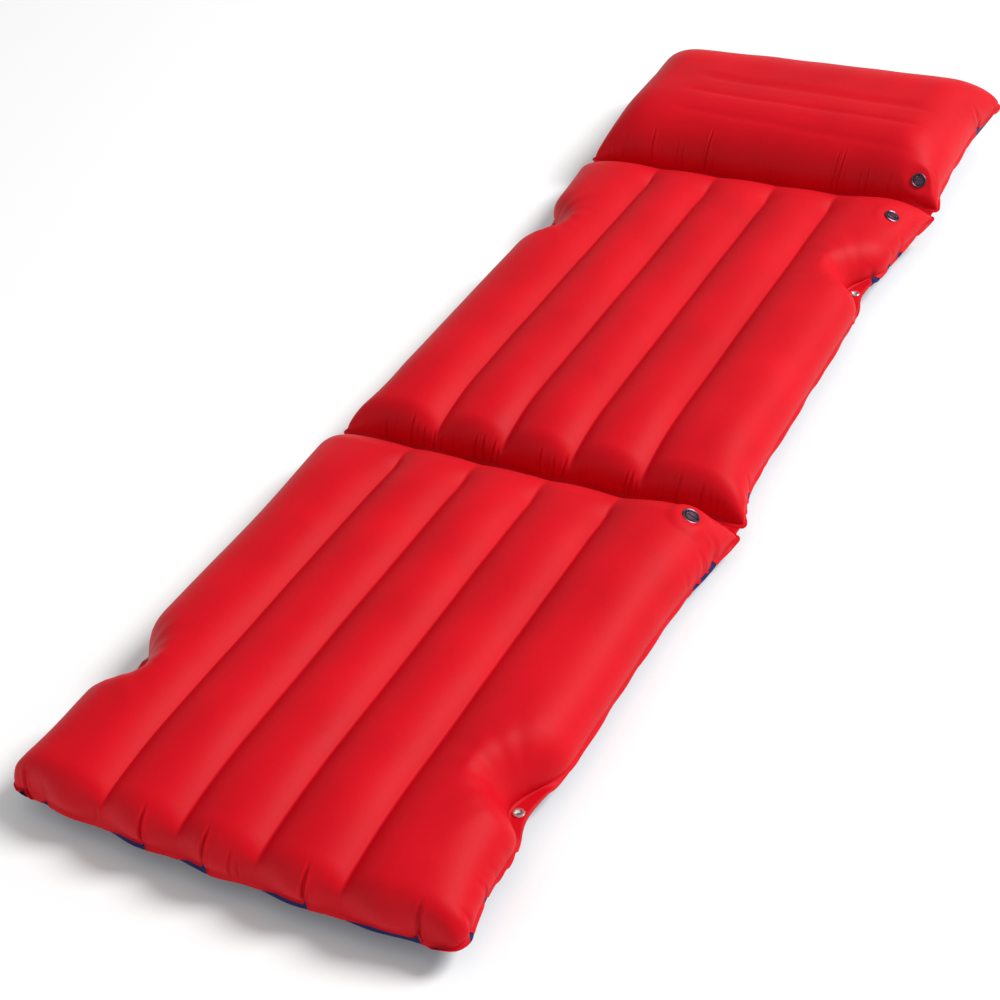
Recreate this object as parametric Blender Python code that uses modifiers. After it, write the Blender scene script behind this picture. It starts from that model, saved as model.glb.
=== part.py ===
"""Folding inflatable lounge mattress of rubberised cotton.

Three air sections lie in a row along Y: legs, back and pillow. Each is a top sheet and a bottom
sheet, welded together round the rim and tied inside by webs, so it blows up into channels. Cloth
bands join the sections at two folds. Each section has a screw valve, and the legs and the back
have an eyelet in a welded tab at each side.

Units are metres, +Z is up, +Y points to the head and the floor is z = 0.
"""
import math

import bmesh
import bpy
from mathutils import Matrix, Vector

# Lengths along Y, from the foot edge to the folds and the head edge
LEGS_LENGTH = 0.760
BACK_LENGTH = 0.850
PILLOW_LENGTH = 0.390

# Widths: five channels and a margin at each side make the head, the widest place, and the
# insets say how far in from there the side lies at the other corners and at the waists
CHANNEL_PITCH = 0.105
SIDE_MARGIN = 0.0615
FOOT_INSET = 0.016
LEGS_WAIST_INSET = 0.033
BACK_FOLD_INSET = 0.009
BACK_WAIST_INSET = 0.035
PILLOW_FOLD_INSET = 0.009
PILLOW_WAIST_INSET = 0.024
CORNER_RADIUS = 0.030
FOOT_FLARE = 0.100
BACK_FOLD_FLARE_BELOW = 0.260
BACK_FOLD_FLARE_ABOVE = 0.110
PILLOW_FOLD_FLARE_BELOW = 0.230
PILLOW_FOLD_FLARE_ABOVE = 0.090
HEAD_FLARE = 0.150
END_BOW = 0.010
END_SCALLOP = 0.004
BOW_REACH = 0.110

# Heights of the seam plane above the floor
FOOT_SEAM_HEIGHT = 0.034
BACK_FOLD_HEIGHT = 0.026
PILLOW_FOLD_HEIGHT = 0.048
HEAD_SEAM_HEIGHT = 0.074

# Cloth
SHEET_THICKNESS = 0.0008
CONTACT_GAP = 0.0003
FLANGE_WIDTH = 0.009
BAND_WIDTH = 0.012
BAND_THICKNESS = 0.0014
WEB_THICKNESS = 0.0006
FLOOR_FLAT_DEPTH = 0.0008
FLOOR_FLAT_HALF_WIDTH = 0.0085

# Channels of the legs and the back
CROWN_HEIGHT = 0.098
TOP_CHANNEL_DEPTH = 0.023
BOTTOM_CHANNEL_DEPTH = 0.021
CHANNEL_FADE_START = 0.002
CHANNEL_FADE_END = 0.038
END_ROUNDING = 0.052
END_FULLNESS_SHARE = 0.50
SIDE_FULLNESS_SHARE = 0.40
WEB_MARGIN = 0.052
WIDEST_ROW_STEP = 0.145

# Pillow
PILLOW_CROWN_HEIGHT = 0.146
PILLOW_END_ROUNDING = 0.120
PILLOW_END_FULLNESS_SHARE = 0.48
PILLOW_SIDE_FULLNESS_SHARE = 0.45
PILLOW_SIDE_ROUNDING = 0.098
PILLOW_BOTTOM_ROUNDING = 0.070
PILLOW_FLAT_DEPTH = 0.004
CREASE_PITCH = 0.056
CREASE_DEPTH = 0.0035
CREASE_REACH = 0.024
CREASE_END_INSET = 0.114
CREASE_FADE = 0.060
CREASE_CENTRE = 0.123

# Eyelets and their tabs
LEGS_EYELET_FROM_FOOT = 0.210
BACK_EYELET_FROM_PILLOW_FOLD = 0.265
EYELET_FROM_EDGE = 0.0125
NOTCH_DEPTH = 0.013
NOTCH_REACH = 0.052
TAB_DEPTH = 0.022
TAB_REACH = 0.046
EYELET_RADIUS = 0.0072
EYELET_HOLE_RADIUS = 0.0036
EYELET_BARREL_WALL = 0.0008
EYELET_RIM_HEIGHT = 0.0014
EYELET_WASHER_RADIUS = 0.0068
EYELET_WASHER_THICKNESS = 0.0006

# Valves: places, then the turned pieces
LEGS_VALVE_FROM_FOLD = 0.064
LEGS_VALVE_FROM_SIDE = 0.049
BACK_VALVE_FROM_FOLD = 0.098
BACK_VALVE_FROM_SIDE = 0.049
PILLOW_VALVE_FROM_FOLD = 0.031
PILLOW_VALVE_FROM_SIDE = 0.045
LAND_HALF_SIZE = 0.0165
LAND_BLEND = 0.018
SEAT_RADIUS = 0.0123
SEAT_RIM_HEIGHT = 0.0026
SEAT_RIM_THICKNESS = 0.0014
SEAT_BARREL_RADIUS = 0.0100
SEAT_COUNTERBORE_RADIUS = 0.0091
SEAT_SHELF_DEPTH = 0.0016
SEAT_BORE_RADIUS = 0.0066
SEAT_DEPTH = 0.0085
RIM_ROUNDING = 0.0004
SEAL_THICKNESS = 0.0011
PLUG_HEAD_THICKNESS = 0.0018
PLUG_SHANK_RADIUS = 0.0060
PLUG_SHANK_LENGTH = 0.0085
PLUG_SLOT_WIDTH = 0.0014
PLUG_SLOT_DEPTH = 0.0008
PLUG_DISH_DEPTH = 0.0004
PATCH_RADIUS = 0.0155
PATCH_THICKNESS = 0.0010
CLAMP_RING_RADIUS = 0.0125
CLAMP_RING_THICKNESS = 0.0016
CUT_OVERRUN = 0.004

# Places of the bottom sheet's outer columns, from the outer crown to the weld
BOTTOM_COLUMN_SHARES = (0.45, 0.72, 0.92, 1)

# Facet counts
TURNED_STEPS = 24
EYELET_STEPS = 20

COLLECTION_NAME = "lounge_mattress"
CUTTER_COLLECTION_NAME = "cutters"

# Places worked out from the sizes above; the middle of the whole length is y = 0
TOTAL_LENGTH = LEGS_LENGTH + BACK_LENGTH + PILLOW_LENGTH
FOOT_Y = -TOTAL_LENGTH / 2
BACK_FOLD_Y = FOOT_Y + LEGS_LENGTH
PILLOW_FOLD_Y = BACK_FOLD_Y + BACK_LENGTH
HEAD_Y = PILLOW_FOLD_Y + PILLOW_LENGTH
HEAD_HALF_WIDTH = 2.5 * CHANNEL_PITCH + SIDE_MARGIN
FOOT_HALF_WIDTH = HEAD_HALF_WIDTH - FOOT_INSET
LEGS_WAIST_HALF_WIDTH = HEAD_HALF_WIDTH - LEGS_WAIST_INSET
BACK_FOLD_HALF_WIDTH = HEAD_HALF_WIDTH - BACK_FOLD_INSET
BACK_WAIST_HALF_WIDTH = HEAD_HALF_WIDTH - BACK_WAIST_INSET
PILLOW_FOLD_HALF_WIDTH = HEAD_HALF_WIDTH - PILLOW_FOLD_INSET
PILLOW_WAIST_HALF_WIDTH = HEAD_HALF_WIDTH - PILLOW_WAIST_INSET
CREASE_HALF_LENGTH = HEAD_HALF_WIDTH - CREASE_END_INSET
BAND_HALF_GAP = BAND_WIDTH / 2 + CONTACT_GAP
SHEET_LIFT = SHEET_THICKNESS + CONTACT_GAP / 2
LAND_RADIUS = LAND_HALF_SIZE * math.sqrt(2)
OUTER_CROWN_X = 2 * CHANNEL_PITCH
OUTER_VALLEY_X = 1.5 * CHANNEL_PITCH
EYELET_BARREL_RADIUS = EYELET_HOLE_RADIUS + EYELET_BARREL_WALL


def bell(share):
    """A smooth bump: 1 at 0, level there, and 0 from 1 on."""
    if abs(share) >= 1:
        return 0.0
    return math.cos(math.pi * share / 2) ** 2


def flare(share):
    """A corner's reach into the side: 1 at 0, fading to 0 at 1."""
    return max(1 - share, 0) ** 2


def ramp(value, start, end):
    """Smooth step from 0 at start to 1 at end."""
    share = min(max((value - start) / (end - start), 0), 1)
    return share * share * (3 - 2 * share)


def shoulder(distance, reach, fullness_share):
    """Share of the full height at a distance inside the weld line, on a rounded edge.

    A fullness share of 0.5 gives a quarter of an ellipse, and a smaller one a squarer edge.
    """
    if distance <= 0:
        return 0.0
    rest = max(1 - distance / reach, 0)
    return (1 - rest ** (1 / fullness_share)) ** fullness_share


def arc_sag(offset):
    """Share of the channel depth, at an offset from a crown, on an arc from valley to valley."""
    half = CHANNEL_PITCH / 2
    radius = (half * half + TOP_CHANNEL_DEPTH ** 2) / (2 * TOP_CHANNEL_DEPTH)
    return (radius - math.sqrt(radius * radius - offset * offset)) / TOP_CHANNEL_DEPTH


class AirSection:
    """Plan outline and surface heights of one air section."""

    def __init__(self, name, start_y, end_y, half_widths, flares, seam_heights, crown_height):
        self.name = name
        self.start_y = start_y
        self.end_y = end_y
        self.start_half, self.waist_half, self.end_half = half_widths
        self.start_flare, self.end_flare = flares
        self.start_seam, self.end_seam = seam_heights
        self.crown_height = crown_height
        self.side_fullness_share = SIDE_FULLNESS_SHARE
        self.end_fullness_share = END_FULLNESS_SHARE
        self.start_bow = 0.0
        self.end_bow = 0.0
        self.end_rounding = END_ROUNDING
        self.bottom_end_rounding = END_ROUNDING
        self.flat_depth = FLOOR_FLAT_DEPTH
        self.eyelet_y = None
        self.valve_plane = None

    def end_distance(self, y):
        return min(y - self.start_y, self.end_y - y)

    def edge(self, y):
        """Half width of the outer edge at a place along the section."""
        half = self.waist_half
        half += (self.start_half - self.waist_half) * flare((y - self.start_y) / self.start_flare)
        half += (self.end_half - self.waist_half) * flare((self.end_y - y) / self.end_flare)
        inset = max(CORNER_RADIUS - self.end_distance(y), 0)
        half -= CORNER_RADIUS - math.sqrt(max(CORNER_RADIUS ** 2 - inset ** 2, 0))
        if self.eyelet_y is not None:
            half -= NOTCH_DEPTH * bell((y - self.eyelet_y) / NOTCH_REACH)
        return half

    def weld(self, y):
        """Half width of the weld line, where the air space starts."""
        half = self.edge(y) - FLANGE_WIDTH
        if self.eyelet_y is not None:
            half -= TAB_DEPTH * bell((y - self.eyelet_y) / TAB_REACH)
        return half

    def seam(self, y):
        share = (y - self.start_y) / (self.end_y - self.start_y)
        return self.start_seam + (self.end_seam - self.start_seam) * share

    def seam_tilt(self):
        return math.atan2(self.end_seam - self.start_seam, self.end_y - self.start_y)

    def bowed_y(self, x, y):
        """Place along Y after the free ends bow outwards, with a scallop on each channel."""
        share = min(abs(x) / self.waist_half, 1)
        scallop = END_SCALLOP * math.cos(math.pi * x / CHANNEL_PITCH) ** 2
        bow = END_BOW * (1 - share * share) + scallop * (1 - share ** 4)
        start_push = self.start_bow * bow * flare((y - self.start_y) / BOW_REACH)
        end_push = self.end_bow * bow * flare((self.end_y - y) / BOW_REACH)
        return y - start_push + end_push

    def side_reach(self, y):
        return self.weld(y) - OUTER_CROWN_X

    def channel(self, x, y):
        """Share of the channel depth taken away at a point, 1 in a valley."""
        offset = abs(x) - CHANNEL_PITCH * round(abs(x) / CHANNEL_PITCH)
        if abs(x) >= OUTER_CROWN_X:
            return 0.0
        inside = self.end_distance(y) - FLANGE_WIDTH
        return arc_sag(offset) * ramp(inside, CHANNEL_FADE_START, CHANNEL_FADE_END)

    def rise(self, x, y, end_rounding):
        """Share of the full height at a point, 0 on the weld line."""
        side_in = self.weld(y) - abs(x)
        end_in = self.end_distance(y) - FLANGE_WIDTH
        side = shoulder(side_in, self.side_reach(y), self.side_fullness_share)
        return side * shoulder(end_in, end_rounding, self.end_fullness_share)

    def free_top(self, x, y):
        base = self.seam(y) + SHEET_LIFT
        height = self.crown_height - base - TOP_CHANNEL_DEPTH * self.channel(x, y)
        return base + self.rise(x, y, self.end_rounding) * height

    def top(self, x, y):
        """Height of the top sheet's outer face, flat on a small land round the valve."""
        height = self.free_top(x, y)
        if self.valve_plane is None or self.rise(x, y, self.end_rounding) == 0:
            return height
        point, normal = self.valve_plane
        fall = (normal.x * (x - point.x) + normal.y * (y - point.y)) / normal.z
        reach = math.hypot(x - point.x, y - point.y, fall)
        weight = 1 - ramp(reach, LAND_RADIUS, LAND_RADIUS + LAND_BLEND)
        return height + weight * (point.z - fall - height)

    def bottom(self, x, y):
        """Height of the bottom sheet's outer face, flat where it lies on the floor."""
        base = self.seam(y) - SHEET_LIFT
        depth = base + self.flat_depth - BOTTOM_CHANNEL_DEPTH * self.channel(x, y)
        return max(base - self.rise(x, y, self.bottom_end_rounding) * depth, 0)

    def set_valve(self, x, y):
        """Note the valve's place, and the plane of the free surface under it."""
        step = LAND_HALF_SIZE / 2
        slope_x = (self.free_top(x + step, y) - self.free_top(x - step, y)) / (2 * step)
        slope_y = (self.free_top(x, y + step) - self.free_top(x, y - step)) / (2 * step)
        normal = Vector((-slope_x, -slope_y, 1)).normalized()
        self.valve_plane = (Vector((x, y, self.free_top(x, y))), normal)
        half_x = LAND_HALF_SIZE * normal.z / math.hypot(normal.x, normal.z)
        half_y = LAND_HALF_SIZE * normal.z / math.hypot(normal.y, normal.z)
        self.land_xs = (x - half_x, x + half_x)
        self.land_ys = [y - half_y, y + half_y]

    def outer_columns(self, fixed):
        """Columns from a fixed x out to the weld, with the valve's land between two of them."""
        span = self.weld(self.valve_plane[0].y) - fixed
        inner_share, outer_share = [(x - fixed) / span for x in self.land_xs]
        return [(fixed, share) for share in (inner_share, outer_share, (outer_share + 2) / 3, 1)]

    def top_columns(self):
        """Places across one side as (fixed x, share of the way from there to the weld)."""
        columns = [(CHANNEL_PITCH * step / 4, 0) for step in range(9)]
        return columns + self.outer_columns(OUTER_CROWN_X)

    def bottom_columns(self):
        """Places across one side, with each crown between two columns that lie on the floor."""
        flat = FLOOR_FLAT_HALF_WIDTH
        between = (flat + CHANNEL_PITCH / 2) / 2
        xs = [flat, between, CHANNEL_PITCH / 2]
        for crown in (CHANNEL_PITCH, OUTER_CROWN_X):
            xs += [crown - between, crown - flat, crown + flat]
            if crown < OUTER_CROWN_X:
                xs += [crown + between, OUTER_VALLEY_X]
        shares = BOTTOM_COLUMN_SHARES
        return [(x, 0) for x in xs] + [(OUTER_CROWN_X, share) for share in shares]

    def bottom_rows(self):
        return [y for y in self.top_rows() if y not in self.land_ys]

    def top_rows(self):
        """Places along the section where the top sheet has a row of points."""
        start_in = self.start_y + FLANGE_WIDTH
        end_in = self.end_y - FLANGE_WIDTH
        turn_shares = [1 - math.cos(math.radians(angle)) for angle in (22, 45, 68)]
        ys = [self.start_y, start_in]
        ys += [start_in + self.end_rounding * share for share in turn_shares]
        ys += [self.eyelet_y + TAB_REACH * share for share in (-1, -0.5, 0, 0.5, 1)]
        ys += self.land_ys
        ys += [end_in - self.end_rounding * share for share in turn_shares[:2]]
        ys += [end_in, self.end_y]
        return fill_gaps(sorted(ys), WIDEST_ROW_STEP)


class PillowSection(AirSection):
    """The pillow: one fat cushion with shallow creases that run across it."""

    def side_reach(self, y):
        return PILLOW_SIDE_ROUNDING

    def crease_ys(self):
        middle = self.start_y + CREASE_CENTRE
        return [middle + CREASE_PITCH * step for step in (-1, 0, 1)]

    def channel(self, x, y):
        length = 1 - ramp(abs(x), CREASE_HALF_LENGTH, CREASE_HALF_LENGTH + CREASE_FADE)
        return length * sum(bell((y - crease) / CREASE_REACH) for crease in self.crease_ys())

    def free_top(self, x, y):
        base = self.seam(y) + SHEET_LIFT
        height = self.crown_height - base - CREASE_DEPTH * self.channel(x, y)
        return base + self.rise(x, y, self.end_rounding) * height

    def bottom(self, x, y):
        base = self.seam(y) - SHEET_LIFT
        rise = self.rise(x, y, self.bottom_end_rounding)
        return max(base - rise * (base + self.flat_depth), 0)

    def top_columns(self):
        columns = [(CREASE_HALF_LENGTH * step / 2, 0) for step in range(3)]
        return columns + self.outer_columns(CREASE_HALF_LENGTH)

    def bottom_columns(self):
        return self.top_columns()

    def top_rows(self):
        start_in = self.start_y + FLANGE_WIDTH
        end_in = self.end_y - FLANGE_WIDTH
        ys = [self.start_y, start_in] + self.land_ys
        ys += [start_in + self.end_rounding * (1 - math.cos(math.radians(50)))]
        turn_shares = [1 - math.cos(math.radians(angle)) for angle in (24, 52)]
        ys += [end_in - self.end_rounding * share for share in turn_shares]
        creases = self.crease_ys()
        ys += creases + [crease + CREASE_PITCH / 2 for crease in creases]
        ys += [end_in, self.end_y]
        return sorted(ys)


def fill_gaps(values, widest):
    """Add even places between neighbours that lie further apart than the widest step."""
    filled = [values[0]]
    for low, high in zip(values, values[1:]):
        steps = max(math.ceil((high - low) / widest), 1)
        filled += [low + (high - low) * step / steps for step in range(1, steps + 1)]
    return filled


def make_sections():
    legs = AirSection(
        "legs", FOOT_Y + END_BOW + END_SCALLOP, BACK_FOLD_Y - BAND_HALF_GAP,
        (FOOT_HALF_WIDTH, LEGS_WAIST_HALF_WIDTH, BACK_FOLD_HALF_WIDTH),
        (FOOT_FLARE, BACK_FOLD_FLARE_BELOW), (FOOT_SEAM_HEIGHT, BACK_FOLD_HEIGHT),
        CROWN_HEIGHT)
    legs.start_bow = 1.0
    legs.eyelet_y = FOOT_Y + LEGS_EYELET_FROM_FOOT
    legs.set_valve(BACK_FOLD_HALF_WIDTH - LEGS_VALVE_FROM_SIDE,
                   BACK_FOLD_Y - LEGS_VALVE_FROM_FOLD)

    back = AirSection(
        "back", BACK_FOLD_Y + BAND_HALF_GAP, PILLOW_FOLD_Y - BAND_HALF_GAP,
        (BACK_FOLD_HALF_WIDTH, BACK_WAIST_HALF_WIDTH, PILLOW_FOLD_HALF_WIDTH),
        (BACK_FOLD_FLARE_ABOVE, PILLOW_FOLD_FLARE_BELOW), (BACK_FOLD_HEIGHT, PILLOW_FOLD_HEIGHT),
        CROWN_HEIGHT)
    back.eyelet_y = PILLOW_FOLD_Y - BACK_EYELET_FROM_PILLOW_FOLD
    back.set_valve(PILLOW_FOLD_HALF_WIDTH - BACK_VALVE_FROM_SIDE,
                   PILLOW_FOLD_Y - BACK_VALVE_FROM_FOLD)

    pillow = PillowSection(
        "pillow", PILLOW_FOLD_Y + BAND_HALF_GAP, HEAD_Y - END_BOW - END_SCALLOP,
        (PILLOW_FOLD_HALF_WIDTH, PILLOW_WAIST_HALF_WIDTH, HEAD_HALF_WIDTH),
        (PILLOW_FOLD_FLARE_ABOVE, HEAD_FLARE), (PILLOW_FOLD_HEIGHT, HEAD_SEAM_HEIGHT),
        PILLOW_CROWN_HEIGHT)
    pillow.end_bow = 1.0
    pillow.side_fullness_share = PILLOW_SIDE_FULLNESS_SHARE
    pillow.end_fullness_share = PILLOW_END_FULLNESS_SHARE
    pillow.end_rounding = PILLOW_END_ROUNDING
    pillow.bottom_end_rounding = PILLOW_BOTTOM_ROUNDING
    pillow.flat_depth = PILLOW_FLAT_DEPTH
    pillow.set_valve(PILLOW_FOLD_HALF_WIDTH - PILLOW_VALVE_FROM_SIDE,
                     PILLOW_FOLD_Y + PILLOW_VALVE_FROM_FOLD)
    return legs, back, pillow


def new_collection(name):
    collection = bpy.data.collections.new(name)
    bpy.context.scene.collection.children.link(collection)
    return collection


def make_material(name, colour, roughness, metallic):
    material = bpy.data.materials.new(name)
    material.use_nodes = True
    shader = material.node_tree.nodes["Principled BSDF"]
    shader.inputs["Base Color"].default_value = (*colour, 1)
    shader.inputs["Roughness"].default_value = roughness
    shader.inputs["Metallic"].default_value = metallic
    return material


def add_object(name, mesh, collection, material):
    part = bpy.data.objects.new(name, mesh)
    collection.objects.link(part)
    if material is not None:
        mesh.materials.append(material)
    return part


def add_boolean(part, cutter):
    modifier = part.modifiers.new("Cut " + cutter.name, 'BOOLEAN')
    modifier.operation = 'DIFFERENCE'
    modifier.solver = 'EXACT'
    modifier.object = cutter


def add_solidify(part, thickness, offset):
    modifier = part.modifiers.new("Wall", 'SOLIDIFY')
    modifier.thickness = thickness
    modifier.offset = offset
    modifier.use_even_offset = True


def shaped_grid(name, columns, rows, place, face_down):
    """A grid of faces whose points are set by place(column, row)."""
    mesh = bpy.data.meshes.new(name)
    grid = bmesh.new()
    column_steps = len(columns) - 1
    row_steps = len(rows) - 1
    bmesh.ops.create_grid(grid, x_segments=column_steps, y_segments=row_steps, size=1)
    for point in grid.verts:
        column = columns[round((point.co.x + 1) / 2 * column_steps)]
        row = rows[round((point.co.y + 1) / 2 * row_steps)]
        point.co = place(column, row)
    if face_down:
        bmesh.ops.reverse_faces(grid, faces=grid.faces)
    grid.to_mesh(mesh)
    grid.free()
    mesh.shade_smooth()
    return mesh


def sheet_columns(one_side):
    """Columns from the left edge to the right edge, as (side, fixed x, share, on the edge)."""
    half = [(fixed, share, False) for fixed, share in one_side] + [(0, 0, True)]
    left = [(-1, *column) for column in reversed(half) if column != (0, 0, False)]
    return left + [(1, *column) for column in half]


def make_sheet(name, section, columns, rows, height, material, collection):
    def place(column, y):
        side, fixed, share, on_edge = column
        weld = section.weld(y)
        across = section.edge(y) if on_edge else fixed + (weld - fixed) * share
        x = side * across
        return Vector((x, section.bowed_y(x, y), height(x, y)))

    face_down = height == section.bottom
    mesh = shaped_grid(name, sheet_columns(columns), rows, place, face_down)
    sheet = add_object(name, mesh, collection, material)
    add_solidify(sheet, SHEET_THICKNESS, -1)
    return sheet


def wall_at_valley():
    """Height of the top sheet's wall where two channels meet, along the web."""
    rise = TOP_CHANNEL_DEPTH * (1 - arc_sag(CHANNEL_PITCH / 4))
    slope = math.atan2(rise, CHANNEL_PITCH / 4)
    return SHEET_THICKNESS / math.cos(slope)


def add_web(name, place, steps, collection, material):
    """An upright wall of cloth, from place(step, end) with end 0 at its foot and 1 at its top."""
    mesh = shaped_grid(name, steps, [0, 1], place, False)
    web = add_object(name, mesh, collection, material)
    add_solidify(web, WEB_THICKNESS, 0)
    return web


def make_tube_webs(section, collection, material):
    """The four lengthwise webs that hold the sheets together in the valleys."""
    clearance = wall_at_valley() + CONTACT_GAP
    low = section.start_y + WEB_MARGIN
    high = section.end_y - WEB_MARGIN
    inner_rows = [y for y in section.top_rows() if low < y < high]
    for index in range(4):
        x = (index - 1.5) * CHANNEL_PITCH

        def place(y, end, x=x):
            top = section.top(x, y) - clearance
            foot = section.bottom(x, y) + clearance
            return Vector((x, y, foot + (top - foot) * end))

        add_web(f"{section.name}_web_{index + 1}", place, inner_rows, collection, material)


def make_pillow_webs(section, collection, material):
    """The three short webs under the creases, which run across the pillow."""
    clearance = SHEET_THICKNESS + 2 * CONTACT_GAP
    xs = [-CREASE_HALF_LENGTH, -CREASE_HALF_LENGTH / 2, 0, CREASE_HALF_LENGTH / 2,
          CREASE_HALF_LENGTH]
    for index, y in enumerate(section.crease_ys()):

        def place(x, end, y=y):
            top = section.top(x, y) - clearance
            foot = section.bottom(x, y) + clearance
            return Vector((x, y, foot + (top - foot) * end))

        add_web(f"{section.name}_web_{index + 1}", place, xs, collection, material)


def profile_mesh(name, profile):
    """Profile points (radius, height) at +X, for a Screw modifier to turn about Z."""
    mesh = bpy.data.meshes.new(name)
    shape = bmesh.new()
    points = [shape.verts.new((radius, 0, height)) for radius, height in profile]
    for first, second in zip(points, points[1:]):
        shape.edges.new((first, second))
    if profile[0][0] > 0:
        shape.edges.new((points[-1], points[0]))
    shape.to_mesh(mesh)
    shape.free()
    return mesh


def add_turned(name, profile, steps, matrix, collection, material):
    part = add_object(name, profile_mesh(name, profile), collection, material)
    part.matrix_world = matrix
    modifier = part.modifiers.new("Turn", 'SCREW')
    modifier.axis = 'Z'
    modifier.angle = math.tau
    modifier.steps = steps
    modifier.render_steps = steps
    modifier.use_merge_vertices = True
    modifier.merge_threshold = CONTACT_GAP / 10
    modifier.use_smooth_shade = True
    return part


def add_cutter_cylinder(name, radius, low, high, matrix, collection):
    mesh = bpy.data.meshes.new(name)
    shape = bmesh.new()
    bmesh.ops.create_cone(shape, cap_ends=True, segments=TURNED_STEPS, radius1=radius,
                          radius2=radius, depth=high - low)
    bmesh.ops.translate(shape, verts=shape.verts, vec=(0, 0, (high + low) / 2))
    shape.to_mesh(mesh)
    shape.free()
    cutter = add_object(name, mesh, collection, None)
    cutter.matrix_world = matrix
    cutter.hide_render = True
    cutter.display_type = 'WIRE'
    return cutter


def add_cutter_box(name, size, middle, matrix, collection):
    mesh = bpy.data.meshes.new(name)
    shape = bmesh.new()
    bmesh.ops.create_cube(shape, size=1)
    bmesh.ops.scale(shape, verts=shape.verts, vec=size)
    bmesh.ops.translate(shape, verts=shape.verts, vec=middle)
    shape.to_mesh(mesh)
    shape.free()
    cutter = add_object(name, mesh, collection, None)
    cutter.matrix_world = matrix
    cutter.hide_render = True
    cutter.display_type = 'WIRE'
    return cutter


def axis_matrix(point, normal):
    """A frame at point whose Z axis lies along normal."""
    turn = Vector((0, 0, 1)).rotation_difference(normal)
    return Matrix.Translation(point) @ turn.to_matrix().to_4x4()


def make_eyelets(section, sheets, collections, materials):
    """Both eyelets of a section: a rimmed tube through the tab, and a washer behind it."""
    parts, cutters = collections
    y = section.eyelet_y
    x_reach = section.edge(y) - EYELET_FROM_EDGE
    normal = Vector((0, -math.sin(section.seam_tilt()), math.cos(section.seam_tilt())))
    rim = EYELET_RIM_HEIGHT
    under = -2 * SHEET_LIFT
    tail = under - EYELET_WASHER_THICKNESS - 2 * CONTACT_GAP
    eyelet_profile = [
        (EYELET_RADIUS - rim / 2, CONTACT_GAP + rim), (EYELET_RADIUS, CONTACT_GAP + rim / 2),
        (EYELET_RADIUS, CONTACT_GAP), (EYELET_BARREL_RADIUS, CONTACT_GAP),
        (EYELET_BARREL_RADIUS, tail), (EYELET_HOLE_RADIUS, tail),
        (EYELET_HOLE_RADIUS, CONTACT_GAP + rim / 2),
        (EYELET_HOLE_RADIUS + rim / 2, CONTACT_GAP + rim)]
    inner = EYELET_BARREL_RADIUS + CONTACT_GAP
    washer_top = under - CONTACT_GAP
    washer_foot = washer_top - EYELET_WASHER_THICKNESS
    washer_profile = [
        (EYELET_WASHER_RADIUS, washer_top), (EYELET_WASHER_RADIUS, washer_foot),
        (inner, washer_foot), (inner, washer_top)]
    for side, side_name in ((-1, "left"), (1, "right")):
        point = Vector((side * x_reach, y, section.seam(y) + SHEET_LIFT))
        matrix = axis_matrix(point, normal)
        add_turned(f"{section.name}_eyelet_{side_name}", eyelet_profile, EYELET_STEPS, matrix,
                   parts, materials["eyelet"])
        add_turned(f"{section.name}_eyelet_washer_{side_name}", washer_profile, EYELET_STEPS,
                   matrix, parts, materials["eyelet"])
        cutter = add_cutter_cylinder(
            f"cut_{section.name}_eyelet_{side_name}", inner, under - CUT_OVERRUN, CUT_OVERRUN,
            matrix, cutters)
        for sheet in sheets:
            add_boolean(sheet, cutter)


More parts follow.
